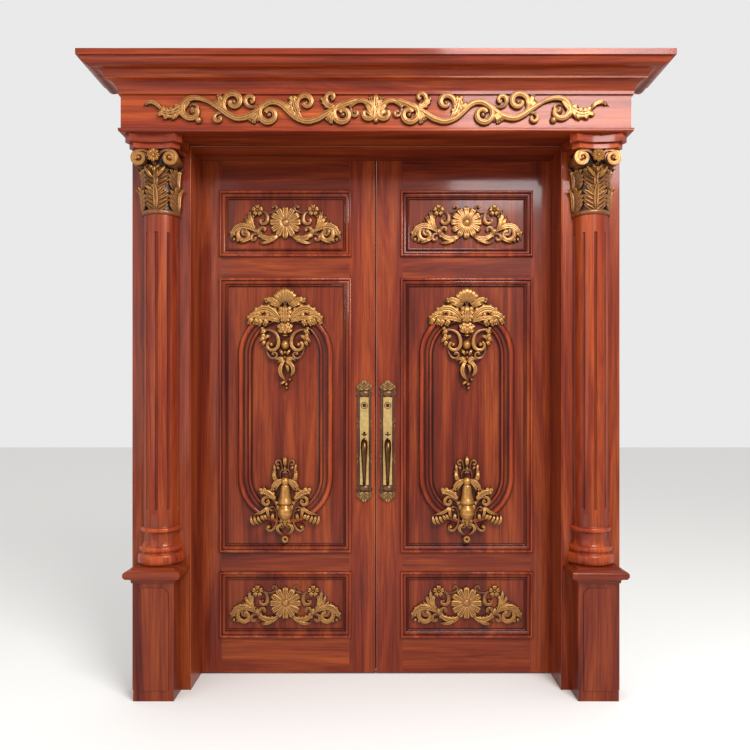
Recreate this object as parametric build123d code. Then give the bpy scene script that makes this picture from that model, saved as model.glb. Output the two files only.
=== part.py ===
from build123d import *
import math
import os

# Carved double entrance door in a classical surround: two panelled leaves that swing inwards,
# a jamb frame, fluted half columns on pedestals and a frieze under a deep cornice.
# It stands on Z = 0 with its front towards -Y. Sizes are in millimetres.

# Opening, leaves and running gaps
OPENING_WIDTH = 1500.0
OPENING_HEIGHT = 2200.0
LEAF_THICK = 50.0
STOP_LAP = 18.0
STOP_GAP = 1.0
SIDE_GAP = 3.0
HEAD_GAP = 3.0
MEETING_GAP = 5.0
FLOOR_GAP = 6.0

# Jambs and casing boards
JAMB_THICK = 45.0
JAMB_REVEAL = 136.0
CASING_THICK = 24.0
CASING_WIDTH = 237.0
CASING_BEAD_WIDTH = 6.0
CASING_BEAD_RISE = 3.0
FIXING_RADIUS = 5.0
FIXING_SPACING = 1600.0
FIXING_HEIGHT = 1100.0

# Stiles, rails, panels and their mouldings
MEETING_STILE = 112.0
HINGE_STILE = 103.0
BOTTOM_RAIL = 160.0
SMALL_PANEL_HEIGHT = 264.0
LOWER_RAIL = 101.0
UPPER_RAIL = 110.0
TOP_RAIL = 153.0
PANEL_SINK = 8.0
MOULD_WIDTH = 38.0
MOULD_LAP = 10.0
MOULD_RISE = 13.0
CAPSULE_WIDTH = 418.0
CAPSULE_HEIGHT = 940.0
CAPSULE_BAND = 70.0
CAPSULE_RISE = 18.0
CAPSULE_DROP = 3.0

# Pedestals, columns and capitals
COLUMN_X = 868.0
PEDESTAL_WIDTH = 158.0
PEDESTAL_DEPTH = 105.0
PEDESTAL_HEIGHT = 462.0
FIELD_MARGIN = 20.0
FIELD_FOOT = 42.0
FIELD_CANT = 20.0
FIELD_RISE = 4.0
CAP_HEIGHT = 58.0
CAP_REACH = 31.0
BASE_HEIGHT = 152.0
TORUS_RADIUS = 92.0
SHAFT_RADIUS = 70.0
FLUTE_RADIUS = 6.0
FLUTE_ANGLE = 38.0
FLUTE_MARGIN = 67.0
ASTRAGAL_RADIUS = 78.0
ASTRAGAL_HEIGHT = 22.0
CAPITAL_HEIGHT = 249.0
BELL_RADIUS = 66.0
BELL_LIP_RADIUS = 84.0
LEAF_TIER_HEIGHT = 98.0
ACANTHUS_WIDTH = 62.0
ACANTHUS_CURL = 26.0
VOLUTE_RADIUS = 32.0
VOLUTE_SPREAD = 59.0
VOLUTE_THICK = 30.0
VOLUTE_BAND = 10.0
FLEURON_RADIUS = 24.0
ABACUS_HEIGHT = 53.0
ABACUS_WIDTH = 222.0
ABACUS_REACH = 124.0
ABACUS_CANT = 24.0
ABACUS_SAG = 14.0
ABACUS_STEP = 12.0

# Frieze and cornice
HEAD_MARGIN = 11.0
BOARD_THICK = 18.0
FRIEZE_REACH = 127.0
FRIEZE_HEIGHT = 143.0
FRIEZE_BEAD_HEIGHT = 14.0
FRIEZE_BEAD_REACH = 8.0
CORNICE_HEIGHT = 118.0
CORNICE_REACH = 122.0

# Carvings: half widths, centre heights and relief
FRIEZE_CARVING_HALF = 903.0
FRIEZE_CARVING_RISE = 12.0
PANEL_CARVING_HALF = 238.0
PANEL_CARVING_RISE = 15.0
UPPER_CARTOUCHE_HALF = 163.0
UPPER_CARTOUCHE_DROP = 249.0
LOWER_CARTOUCHE_HALF = 148.0
LOWER_CARTOUCHE_LIFT = 219.0
CARTOUCHE_RISE = 27.0
CROWN_RISE = 6.0

# Door furniture
HANDLE_X = 50.0
HANDLE_Z = 999.0
PLATE_WIDTH = 60.0
PLATE_HEIGHT = 440.0
PLATE_THICK = 5.0
FINIAL_WIDTH = 68.0
FINIAL_HEIGHT = 44.0
INLAY_WIDTH = 36.0
INLAY_HEIGHT = 378.0
INLAY_RISE = 3.0
PLUG_Z = 1152.0
PLUG_RADIUS = 8.5
PLUG_PROUD = 2.0
PLUG_COLLAR = 12.0
PLUG_COLLAR_RISE = 3.0
KEYWAY_WIDTH = 2.4
KEYWAY_DEPTH = 3.0
LEVER_Z = 1030.0
LEVER_WIDTH = 24.0
LEVER_LENGTH = 34.0
LEVER_THICK = 4.0
LEVER_TAIL = 16.0
LEVER_STEM = 9.0
LEVER_AXLE_RADIUS = 2.5
LEVER_AXLE_STANDOFF = 5.0
EAR_THICK = 4.0
EAR_RADIUS = 5.0
LEVER_SLOT_HEIGHT = 18.0
GRIP_TOP_Z = 1003.0
GRIP_FOOT_Z = 818.0
GRIP_REACH = 46.0
GRIP_TOP_RADIUS = 9.0
GRIP_FOOT_RADIUS = 5.0
GRIP_FACETS = 12
PULL_PLATE_WIDTH = 50.0
PULL_PLATE_HEIGHT = 300.0
PULL_REACH = 48.0

# Mortise lock, bolts and strike
LOCK_Z = 1110.0
FOREND_THICK = 3.0
FOREND_WIDTH = 22.0
FOREND_HEIGHT = 240.0
CASE_DEPTH = 84.0
CASE_WIDTH = 18.0
CASE_HEIGHT = 176.0
DEAD_Z = 1128.0
DEAD_HEIGHT = 34.0
DEAD_THROW = 20.0
LATCH_Z = 1060.0
LATCH_HEIGHT = 20.0
LATCH_THROW = 12.0
BOLT_WIDTH = 12.0
BOLT_LENGTH = 46.0
BOLT_SET = 0.5

# Butt hinges
HINGE_COUNT = 3
HINGE_FIRST_Z = 230.0
HINGE_LAST_Z = 1985.0
HINGE_HEIGHT = 110.0
HINGE_PLATE = 3.0
HINGE_PLATE_DEPTH = 36.0
KNUCKLE_COUNT = 2
KNUCKLE_RADIUS = 7.0
KNUCKLE_STANDOFF = 9.0
KNUCKLE_GAP = 0.3
PIN_RADIUS = 3.5
PIN_CLEARANCE = 0.06

# Fits
RUN_CLEARANCE = 0.3
AXLE_CLEARANCE = 0.06
OVERRUN = 20.0

# Section outlines as shares of reach and rise, with the bulge of the edge that ends at each point
CORNICE_SHARES = [
    (0, 0), (.066, 0), (.066, .10), (.33, .39, .16), (.377, .39), (.377, .458),
    (.64, .60, .22), (.918, .814, -.22), (1, .814), (1, 1), (0, 1),
]
FRIEZE_BEAD_SHARES = [(0, 0), (.45, 0), (1, .45, -.2), (1, .62), (.55, 1, -.35), (0, 1)]
CAP_SHARES = [
    (0, 0), (.2, 0), (.2, .1), (.55, .28, .2), (.92, .45, -.2), (1, .45), (1, .62),
    (.62, .82, -.25), (.2, .92), (.2, 1), (0, 1),
]
BASE_SHARES = [
    (.9, 0), (.98, .05), (1, .145), (.98, .24), (.9, .29), (.86, .29), (.92, .34), (.92, .45), (.84, .5),
    (.8, .53), (.75, .64), (.74, .76), (.8, .85), (.88, .89), (.88, .96), (.8, 1),
]
MOULD_SHARES = [
    (0, .38), (0, .66), (.06, .92), (.18, 1), (.3, .94), (.34, .76), (.46, .56), (.64, .44), (.7, .46),
    (.78, .54), (.86, .42), (.9, .16), (1, .12), (1, 0),
]
CAPSULE_SHARES = [
    (0, 0), (0, .3), (.12, .7), (.26, 1), (.42, .62), (.58, .34), (.74, .36), (.82, .5), (.9, .16), (1, .1),
    (1, 0),
]
BELL_SHARES = [(1, .04), (.97, .35), (1.06, .7), (1.27, .94)]
BELL_FACETS = 16
UPPER_TIER_SHARE = .86
ABACUS_LOWER_SHARE = .4
ACANTHUS_SIDE_SHARES = [(-1, 0), (0, 0), (0, .5), (.3, .75), (1, .93), (.9, 1), (.3, .95), (-1, .8)]
ACANTHUS_SHARES = [(.5, 0), (.46, .3), (.5, .62), (.3, .88), (0, 1)]

# Where the grip's sections stand: along the drop, along the reach, and the tilt of each section
GRIP_SECTION_SHARES = [(0, 0, 0), (.1, .72, .4), (.42, 1, 1), (.78, .86, 1.08), (.95, .55, 1.5), (1, 0, 2)]

# Finial lobes of the handle plate, as shares of the finial's half width and height
FINIAL_LOBE_SHARES = [(0, .72, .26), (.36, .5, .3), (.68, .2, .32), (.3, .1, .42), (0, .28, .4)]
NOTCH_HEIGHT_SHARES = [-.17, .17]
NOTCH_RADIUS_SHARE = .07

# Facets of the carvings: shares along a leaf's edge, sides of a boss and of a scroll's full turn
LEAF_EDGE_SHARES = [.3, .68]
BOSS_FACETS = 8
SCROLL_FACETS = 7
SCROLL_CLOSE_SHARE = .6
SCROLL_EYE_SHARE = .45
PETAL_BEND_SHARE = .62

# Carved strokes as shares of a carving's half width, drawn for one half and mirrored.
# A scroll has the points it passes, its eye, the eye's radius, its turns, its hand and its widths.
# A leaf has its root, the point it bends towards, its tip and its width. A boss is an oval.
FRIEZE_SCROLL_SHARES = [
    ([(.492, .005), (.54, -.03), (.59, -.045), (.64, -.026), (.7, .021)],
     (.782, -.009), .05, 1.3, -1, (.014, .021, .008)),
    ([(.148, .009), (.195, -.022), (.252, -.05), (.312, -.052), (.355, -.027), (.4, .013)],
     (.458, -.026), .044, 1.25, -1, (.014, .02, .008)),
    ([(.008, 0), (.05, .026)], (.138, -.026), .045, 1.25, -1, (.012, .018, .008)),
    ([(.598, -.044), (.643, -.018)], (.602, .026), .036, 1.2, 1, (.012, .016, .007)),
    ([(.29, -.05), (.337, -.012)], (.299, .028), .033, 1.1, 1, (.012, .016, .007)),
    ([(.645, -.024), (.665, -.024)], (.668, -.045), .016, .8, -1, (.008, .009, .005)),
    ([(.492, .003), (.526, .008)], (.533, .031), .021, .9, 1, (.009, .01, .006)),
    ([(.185, 0), (.206, .018)], (.19, .044), .018, .9, 1, (.008, .009, .005)),
    ([(.075, .022), (.035, .014)], (.03, -.034), .026, .9, 1, (.01, .012, .007)),
    ([(.112, .016), (.108, 0)], (.09, -.016), .015, .8, -1, (.007, .008, .005)),
]
FRIEZE_LEAF_SHARES = [
    ((.81, .014), (.87, -.066), (.93, -.006), .036), ((.9, -.03), (.945, .04), (.998, .005), .014),
    ((.65, -.02), (.66, .02), (.668, .062), .02), ((.655, -.01), (.68, .01), (.69, .042), .014),
    ((.65, -.012), (.645, .02), (.646, .05), .013), ((.34, -.03), (.345, .02), (.354, .06), .028),
    ((.352, -.024), (.372, 0), (.385, .032), .015), ((.49, .002), (.51, -.03), (.535, -.066), .022),
    ((.495, -.008), (.53, -.025), (.55, -.046), .014), ((.17, -.008), (.19, -.04), (.21, -.068), .02),
    ((.175, -.02), (.185, -.045), (.19, -.07), .012), ((.195, 0), (.205, .03), (.228, .062), .02),
    ((.004, -.01), (.02, .03), (.03, .058), .02), ((.004, -.012), (.035, .014), (.05, .036), .018),
]
FRIEZE_MIDDLE_SHARES = [((0, -.012), (0, .02), (0, .068), .026)]
FRIEZE_BOSS_SHARES = [(0, -.012, .016, .016)]

PANEL_SCROLL_SHARES = [
    ([(.1, -.2), (.2, -.28), (.3, -.3), (.4, -.26)], (.4, -.14), .085, .6, 1, (.05, .06, .025)),
    ([(.56, -.2), (.63, -.11)], (.728, -.146), .085, 1.15, -1, (.035, .045, .02)),
    ([(.4, -.27), (.48, -.21)], (.575, -.26), .05, .6, -1, (.035, .04, .02)),
    ([(.43, .22), (.345, .15)], (.405, .035), .08, .6, 1, (.03, .045, .02)),
    ([(.45, .205), (.38, .19), (.3, .2)], (.215, .285), .045, .75, -1, (.022, .028, .018)),
]
PANEL_LEAF_SHARES = [
    ((.54, -.17), (.86, .08), (1, -.31), .09), ((.46, -.21), (.66, -.36), (.87, -.3), .06),
    ((.58, -.14), (.62, .05), (.66, .27), .065), ((.6, -.14), (.68, 0), (.735, .18), .055),
    ((.62, -.12), (.72, -.02), (.8, .08), .045), ((.48, -.25), (.6, 0), (.565, .2), .06),
    ((.44, -.24), (.44, -.12), (.5, -.03), .04), ((.86, -.2), (.9, -.28), (.88, -.34), .04),
]
PANEL_BOSS_SHARES = [(.3, .175, .028, .028), (.52, .254, .04, .04)]
DAISY_PETALS = 12
DAISY_RADIUS_SHARE = .31
DAISY_PETAL_SHARE = .085
DAISY_EYE_SHARE = .094
DAISY_CENTRE_SHARE = .023
ROSE_PETALS = 5
ROSE_PETAL_SHARE = .08
ROSE_RADIUS_SHARE = .1
ROSE_PLACE_SHARES = (.52, .254)

UPPER_SCROLL_SHARES = [
    ([(0, 1), (.05, .99)], (.125, .93), .055, .8, -1, (.05, .05, .03)),
    ([(.14, .36), (.2, .62)], (.37, .6), .11, .9, -1, (.06, .09, .04)),
    ([(.6, .14), (.48, .23), (.3, .17)], (.36, -.15), .175, .62, 1, (.05, .085, .05)),
]
UPPER_LEAF_SHARES = [
    ((.03, .98), (.07, 1.15), (.12, 1.31), .08), ((.05, .98), (.13, 1.1), (.21, 1.26), .075),
    ((.07, .97), (.18, 1.05), (.31, 1.13), .065), ((.1, .86), (.38, 1.12), (.56, .94), .13),
    ((.1, .42), (.42, .98), (.86, .66), .2), ((.1, .34), (.62, .7), (1, .42), .17),
    ((.52, .52), (.66, .46), (.74, .33), .11), ((.34, .5), (.48, .46), (.54, .33), .12),
    ((0, .55), (.12, .66), (.2, .8), .09), ((0, .44), (.12, .5), (.21, .62), .09),
    ((.02, .1), (.2, .12), (.23, .38), .07), ((.46, .24), (.68, .16), (.63, -.14), .12),
    ((.5, .18), (.6, .2), (.65, .28), .07), ((.46, -.22), (.46, -.52), (.06, -.5), .065),
    ((.03, -.3), (.12, -.38), (.17, -.5), .055), ((0, -.5), (.2, -.48), (.29, -.61), .06),
    ((0, -.52), (.12, -.58), (.2, -.71), .06), ((-.04, -.5), (.3, -.84), (-.05, -1.16), .1),
    ((0, -1.12), (.1, -1.14), (.14, -1.22), .07),
]
UPPER_MIDDLE_SHARES = [
    ((0, .96), (0, 1.15), (0, 1.34), .11), ((0, .3), (0, .6), (0, .98), .15),
    ((0, .08), (0, .24), (0, .46), .17), ((0, -1.06), (0, -1.2), (0, -1.35), .15),
]
UPPER_BOSS_SHARES = [
    (0, .075, .13, .055), (0, -.15, .125, .19), (0, -.36, .065, .065), (0, -.475, .055, .055),
    (.36, -.15, .075, .075),
]

LOWER_SCROLL_SHARES = [
    ([(.14, .5), (.09, .78), (.1, .9)], (.185, 1.02), .085, .85, -1, (.06, .05, .03)),
    ([(.16, -.6), (.2, -.3), (.27, -.02)], (.52, -.08), .12, .9, -1, (.06, .075, .04)),
    ([(0, -1.02), (.15, -.98), (.23, -.85)], (.13, -.76), .1, .75, 1, (.06, .06, .035)),
    ([(.2, -.42), (.34, -.36)], (.42, -.5), .08, .7, -1, (.05, .05, .03)),
]
LOWER_LEAF_SHARES = [
    ((.2, .44), (.36, .8), (.33, 1.08), .075), ((.22, .42), (.32, .62), (.36, .8), .09),
    ((.1, .84), (.12, .94), (.02, .9), .04), ((.1, -.04), (.44, .42), (.08, .6), .1),
    ((.1, 0), (.28, .4), (.04, .56), .06), ((.2, -.1), (.4, .3), (.84, .33), .2),
    ((.44, .2), (.56, .32), (.62, .42), .1), ((.5, .22), (.62, .2), (.7, .12), .11),
    ((.4, -.2), (.62, -.5), (.98, -.5), .1), ((.42, -.24), (.6, -.58), (.93, -.64), .1),
    ((.44, -.28), (.56, -.62), (.82, -.73), .1), ((.44, -.3), (.5, -.6), (.68, -.74), .09),
    ((.2, -.36), (.24, -.84), (.48, -.84), .07),
]
LOWER_MIDDLE_SHARES = [((0, .84), (0, 1.05), (0, 1.28), .1)]
LOWER_BOSS_SHARES = [
    (0, 1, .06, .06), (0, .44, .125, .13), (0, .17, .15, .27), (0, -.1, .17, .06),
    (0, -.45, .21, .26), (.48, -.79, .08, .08), (0, -.98, .1, .08),
]
LOWER_RING_SHARES = (0, -1.14, .13, .07)

# Planes worked out from the driving sizes; Y grows towards the back
front_reach = JAMB_REVEAL + CASING_THICK + FRIEZE_REACH + CORNICE_REACH
back_reach = LEAF_THICK + PLATE_THICK + PULL_REACH
leaf_front = (front_reach - back_reach) / 2
leaf_back = leaf_front + LEAF_THICK
wall_face = leaf_front - JAMB_REVEAL
casing_front = wall_face - CASING_THICK
frieze_front = casing_front - FRIEZE_REACH
panel_front = leaf_front + PANEL_SINK
panel_back = leaf_back - PANEL_SINK
reveal_x = OPENING_WIDTH / 2
rebate_x = reveal_x + STOP_LAP
jamb_x = reveal_x + JAMB_THICK
casing_x = reveal_x + CASING_WIDTH
head_z = OPENING_HEIGHT
soffit_z = head_z + HEAD_MARGIN
cornice_z = soffit_z + FRIEZE_HEIGHT
top_z = cornice_z + CORNICE_HEIGHT
leaf_x0 = MEETING_GAP / 2
leaf_x1 = rebate_x - SIDE_GAP
leaf_z0 = FLOOR_GAP
leaf_z1 = head_z + STOP_LAP - HEAD_GAP
panel_x0 = leaf_x0 + MEETING_STILE
panel_x1 = leaf_x1 - HINGE_STILE
panel_x = (panel_x0 + panel_x1) / 2
bottom_z0 = leaf_z0 + BOTTOM_RAIL
bottom_z1 = bottom_z0 + SMALL_PANEL_HEIGHT
middle_z0 = bottom_z1 + LOWER_RAIL
upper_z1 = leaf_z1 - TOP_RAIL
upper_z0 = upper_z1 - SMALL_PANEL_HEIGHT
middle_z1 = upper_z0 - UPPER_RAIL
capsule_z = (middle_z0 + middle_z1) / 2 - CAPSULE_DROP
cap_z = PEDESTAL_HEIGHT
base_z = cap_z + CAP_HEIGHT
shaft_z = base_z + BASE_HEIGHT
abacus_z = soffit_z - ABACUS_HEIGHT
astragal_z = abacus_z - CAPITAL_HEIGHT
bell_z = astragal_z + ASTRAGAL_HEIGHT
plate_front = leaf_front - PLATE_THICK
inlay_front = plate_front - INLAY_RISE
lock_y = (leaf_front + leaf_back) / 2
hinge_x = (leaf_x1 + rebate_x) / 2
hinge_y = leaf_back + KNUCKLE_STANDOFF
hinge_step = (HINGE_LAST_Z - HINGE_FIRST_Z) / (HINGE_COUNT - 1)
hinge_zs = [HINGE_FIRST_Z + hinge_step * i for i in range(HINGE_COUNT)]
fixing_zs = [FIXING_HEIGHT - FIXING_SPACING / 2, FIXING_HEIGHT + FIXING_SPACING / 2]


def block(x0, x1, y0, y1, z0, z1):
    """A box between two corners."""
    return Pos((x0 + x1) / 2, (y0 + y1) / 2, (z0 + z1) / 2) * Box(x1 - x0, y1 - y0, z1 - z0)


def other_hand(shape):
    """The same shape on the other side of the middle."""
    return mirror(shape, about=Plane.YZ)


def outline(points):
    """A flat face through points, where a third number bulges the edge that ends there."""
    edges = []
    for i, end in enumerate(points):
        start = points[i - 1]
        chord = math.dist(start[:2], end[:2])
        if len(end) > 2:
            edges.append(SagittaArc(start[:2], end[:2], end[2] * chord))
        else:
            edges.append(Line(start[:2], end[:2]))
    return make_face(edges)


def scaled(shares, reach, rise):
    """Outline points from shares of a reach and a rise, with bulges kept."""
    return [(share[0] * reach, share[1] * rise, *share[2:]) for share in shares]


def facing_front(x, y, z):
    """A drawing plane that faces the front, with its origin at a point."""
    return Plane(origin=(x, y, z), x_dir=(1, 0, 0), z_dir=(0, -1, 0))


def facing_back(x, y, z):
    """A drawing plane that faces the back, with its origin at a point."""
    return Plane(origin=(x, y, z), x_dir=(-1, 0, 0), z_dir=(0, 1, 0))


def round_bar(start, direction, radius, length):
    """A round bar from a point along a direction."""
    return extrude(Plane(origin=start, z_dir=direction) * Circle(radius), amount=length)


def three_sided_run(shares, reach, rise, half_width, front, back, z):
    """A moulding planted on the front and both returns of a box, mitred at its corners."""
    left = -half_width
    path = Polyline((left, back, z), (left, front, z), (half_width, front, z), (half_width, back, z))
    plane = Plane(origin=(left, back, z), x_dir=(-1, 0, 0), z_dir=(0, 1, 0))
    section = plane * outline(scaled(shares, reach, rise))
    return sweep(section, path=path, transition=Transition.RIGHT)


def make_jamb():
    """The right jamb: a reveal with a stop, a rebate for the leaf, mortises and fixing holes."""
    top = head_z + JAMB_THICK
    jamb = block(reveal_x, jamb_x, wall_face, leaf_front - STOP_GAP, 0, top)
    jamb += block(rebate_x, jamb_x, leaf_front - STOP_GAP, leaf_back, 0, top)
    for z in hinge_zs:
        jamb -= hinge_mortise(rebate_x, rebate_x + HINGE_PLATE, z)
    fixing_y = (wall_face + leaf_front) / 2
    depth = JAMB_THICK + 2 * OVERRUN
    for z in fixing_zs:
        jamb -= round_bar((reveal_x - OVERRUN, fixing_y, z), (1, 0, 0), FIXING_RADIUS, depth)
    return jamb


def make_head_jamb():
    """The head of the frame, between the two jambs."""
    top = head_z + JAMB_THICK
    head = block(-reveal_x, reveal_x, wall_face, leaf_front - STOP_GAP, head_z, top)
    return head + block(-rebate_x, rebate_x, leaf_front - STOP_GAP, leaf_back, head_z + STOP_LAP, top)


def casing_bead(length):
    """A half round bead, drawn in plan and drawn up to a length."""
    section = outline([(0, 0, CASING_BEAD_RISE / CASING_BEAD_WIDTH), (CASING_BEAD_WIDTH, 0)])
    return extrude(section, amount=length)


def make_casing():
    """The right casing board that carries the column, with a bead along the reveal."""
    board = block(reveal_x, casing_x, casing_front, wall_face, 0, top_z)
    bead = casing_bead(head_z + CASING_BEAD_WIDTH)
    return board + Pos(reveal_x, casing_front, 0) * bead


def make_head_casing():
    """The casing board over the opening, which also closes the back of the frieze."""
    board = block(-reveal_x, reveal_x, casing_front, wall_face, head_z, top_z)
    plane = Plane(origin=(reveal_x, casing_front, head_z), x_dir=(0, 0, 1), z_dir=(-1, 0, 0))
    return board + plane * casing_bead(OPENING_WIDTH)


def make_pedestal():
    """The right pedestal: a die with a raised field canted at its top corners."""
    die = block(COLUMN_X - PEDESTAL_WIDTH / 2, COLUMN_X + PEDESTAL_WIDTH / 2, casing_front - PEDESTAL_DEPTH,
                casing_front, 0, PEDESTAL_HEIGHT)
    half = PEDESTAL_WIDTH / 2 - FIELD_MARGIN
    top = PEDESTAL_HEIGHT - FIELD_MARGIN
    shoulder = top - FIELD_CANT
    crown = half - FIELD_CANT
    field = outline([(-half, FIELD_FOOT), (half, FIELD_FOOT), (half, shoulder), (crown, top), (-crown, top),
                     (-half, shoulder)])
    plane = facing_front(COLUMN_X, casing_front - PEDESTAL_DEPTH, 0)
    return die + plane * extrude(field, amount=FIELD_RISE)


def make_pedestal_cap():
    """The moulded cap of the right pedestal."""
    half = PEDESTAL_WIDTH / 2
    front = casing_front - PEDESTAL_DEPTH
    core = block(-half, half, front, casing_front, cap_z, base_z)
    run = three_sided_run(CAP_SHARES, CAP_REACH, CAP_HEIGHT, half, front, casing_front, cap_z)
    return Pos(COLUMN_X, 0, 0) * (core + run)


def half_turned(points):
    """A half round solid turned about the column's axis, flat on the casing."""
    section = Plane(origin=(COLUMN_X, casing_front, 0), x_dir=(1, 0, 0), z_dir=(0, -1, 0)) * outline(points)
    axis = Axis((COLUMN_X, casing_front, 0), (0, 0, 1))
    return revolve(section, axis=axis, revolution_arc=-180)


def make_column():
    """The right half column, turned in one piece with its base and fluted down the shaft."""
    base = [(share[0] * TORUS_RADIUS, base_z + share[1] * BASE_HEIGHT, *share[2:]) for share in BASE_SHARES]
    shaft = [(SHAFT_RADIUS, shaft_z), (SHAFT_RADIUS, astragal_z), (0, astragal_z)]
    column = half_turned([(0, base_z)] + base + shaft)
    length = astragal_z - shaft_z - 2 * FLUTE_MARGIN
    for step in (-2, -1, 0, 1, 2):
        angle = math.radians(FLUTE_ANGLE * step)
        place = (COLUMN_X + SHAFT_RADIUS * math.sin(angle), casing_front - SHAFT_RADIUS * math.cos(angle))
        column -= round_bar((*place, shaft_z + FLUTE_MARGIN), (0, 0, 1), FLUTE_RADIUS, length)
    return column


def acanthus(foot_radius, foot_z):
    """One curling leaf against the bell, facing the front of the right column."""
    blade = [(foot_radius + out * ACANTHUS_CURL, up * LEAF_TIER_HEIGHT) for out, up in ACANTHUS_SIDE_SHARES]
    side = Plane(origin=(0, 0, 0), x_dir=(0, -1, 0), z_dir=(-1, 0, 0))
    curl = extrude(side * outline(blade), amount=ACANTHUS_WIDTH / 2, both=True)
    half = scaled(ACANTHUS_SHARES, ACANTHUS_WIDTH, LEAF_TIER_HEIGHT)
    leaf = outline(half + [(-u, v) for u, v in half[-2::-1]])
    prism = facing_front(0, 0, 0) * extrude(leaf, amount=foot_radius + 2 * ACANTHUS_CURL)
    return Pos(0, 0, foot_z) * (curl & prism)


def make_capital():
    """The right capital: astragal, bell, two tiers of leaves, volutes with bolsters and a fleuron."""
    bell_rise = abacus_z - bell_z
    rim = ASTRAGAL_RADIUS - ASTRAGAL_HEIGHT / 2
    rings = [(rim, astragal_z), (ASTRAGAL_RADIUS, astragal_z + ASTRAGAL_HEIGHT / 2), (rim, bell_z)]
    rings += [(share * BELL_RADIUS, bell_z + rise * bell_rise) for share, rise in BELL_SHARES]
    rings.append((BELL_LIP_RADIUS, abacus_z))
    faces = [Pos(COLUMN_X, casing_front, z) * RegularPolygon(radius, BELL_FACETS) for radius, z in rings]
    capital = loft(faces, ruled=True)
    place = Pos(COLUMN_X, casing_front, 0)
    lower = acanthus(BELL_RADIUS, bell_z)
    upper = acanthus(BELL_RADIUS, bell_z + LEAF_TIER_HEIGHT * UPPER_TIER_SHARE)
    for angle in (-90, -45, 0, 45, 90):
        capital += place * Rot(0, 0, angle) * lower
        capital += place * Rot(0, 0, angle) * upper
    volute_z = abacus_z - VOLUTE_RADIUS + RUN_CLEARANCE
    for side in (-1, 1):
        x = COLUMN_X + side * VOLUTE_SPREAD
        reach = ABACUS_REACH - ABACUS_CANT
        capital += round_bar((x, casing_front, volute_z), (0, -1, 0), VOLUTE_RADIUS - VOLUTE_BAND / 2, reach)
        face = casing_front - reach + VOLUTE_THICK
        capital += round_bar((x, face, volute_z), (0, -1, 0), VOLUTE_RADIUS, VOLUTE_THICK)
    fleuron_y = casing_front - BELL_LIP_RADIUS + FLEURON_RADIUS
    reach = ABACUS_REACH - BELL_LIP_RADIUS
    capital += round_bar((COLUMN_X, fleuron_y, volute_z), (0, -1, 0), FLEURON_RADIUS, reach)
    front = casing_front - 2 * ABACUS_REACH
    keep = block(COLUMN_X - ABACUS_WIDTH, COLUMN_X + ABACUS_WIDTH, front, casing_front, astragal_z, abacus_z)
    return capital & keep


def abacus_slab(inset, rise):
    """One slab of the abacus with hollow sides and canted horns, drawn from its back edge."""
    half = ABACUS_WIDTH / 2 - inset
    reach = ABACUS_REACH - inset
    cant = ABACUS_CANT
    sag_front = ABACUS_SAG / (2 * (half - cant))
    sag_side = ABACUS_SAG / (reach - cant)
    slab = outline([(-half, 0, sag_side), (half, 0), (half, reach - cant, sag_side), (half - cant, reach),
                    (cant - half, reach, sag_front), (-half, reach - cant)])
    return extrude(slab, amount=rise)


def make_abacus():
    """The right abacus: a lower slab stepped in under a wider one."""
    plane = Plane(origin=(COLUMN_X, casing_front, 0), x_dir=(-1, 0, 0), z_dir=(0, 0, 1))
    lower_rise = ABACUS_HEIGHT * ABACUS_LOWER_SHARE
    lower = Pos(0, 0, abacus_z) * abacus_slab(ABACUS_STEP, lower_rise)
    upper = Pos(0, 0, abacus_z + lower_rise) * abacus_slab(0, ABACUS_HEIGHT - lower_rise)
    return plane * (lower + upper)


def make_frieze_boards():
    """The frieze's front board and its two returns, which reach up behind the cornice."""
    front = block(-casing_x, casing_x, frieze_front, frieze_front + BOARD_THICK, soffit_z, top_z)
    back = block(casing_x - BOARD_THICK, casing_x, frieze_front + BOARD_THICK, casing_front, soffit_z, top_z)
    return [front, back, other_hand(back)]


def hinge_mortise(x0, x1, z):
    """The recess of one hinge plate, open to the back."""
    return block(x0, x1, leaf_back - HINGE_PLATE_DEPTH, leaf_back, z - HINGE_HEIGHT / 2, z + HINGE_HEIGHT / 2)


def hinge_half(x0, x1, z, turns):
    """One plate of a butt hinge with its share of the knuckles."""
    pitch = HINGE_HEIGHT / KNUCKLE_COUNT
    half = hinge_mortise(x0, x1, z)
    for i in turns:
        z0 = z - HINGE_HEIGHT / 2 + pitch * i + KNUCKLE_GAP / 2
        z1 = z0 + pitch - KNUCKLE_GAP
        half += block(x0, x1, leaf_back, hinge_y, z0, z1)
        half += round_bar((hinge_x, hinge_y, z0), (0, 0, 1), KNUCKLE_RADIUS, z1 - z0)
    bore_radius = PIN_RADIUS + PIN_CLEARANCE
    return half - round_bar((hinge_x, hinge_y, z - HINGE_HEIGHT), (0, 0, 1), bore_radius, 2 * HINGE_HEIGHT)


def hinge_pin(z):
    """The plain pin through one hinge's knuckles."""
    length = HINGE_HEIGHT - KNUCKLE_GAP
    return round_bar((hinge_x, hinge_y, z - length / 2), (0, 0, 1), PIN_RADIUS, length)


def make_hinge_stile():
    """The right hinge stile with its hinge mortises."""
    stile = block(panel_x1, leaf_x1, leaf_front, leaf_back, leaf_z0, leaf_z1)
    for z in hinge_zs:
        stile -= hinge_mortise(leaf_x1 - HINGE_PLATE, leaf_x1, z)
    return stile


def furniture_holes():
    """What the handle set takes out of a meeting stile: the plug's bore and the lever's slot."""
    depth = lock_y - CASE_WIDTH / 2 - leaf_front
    plug = round_bar((HANDLE_X, leaf_front, PLUG_Z), (0, 1, 0), PLUG_RADIUS + RUN_CLEARANCE, depth)
    return plug + lever_slot(leaf_front, leaf_front + LEVER_TAIL)


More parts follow.
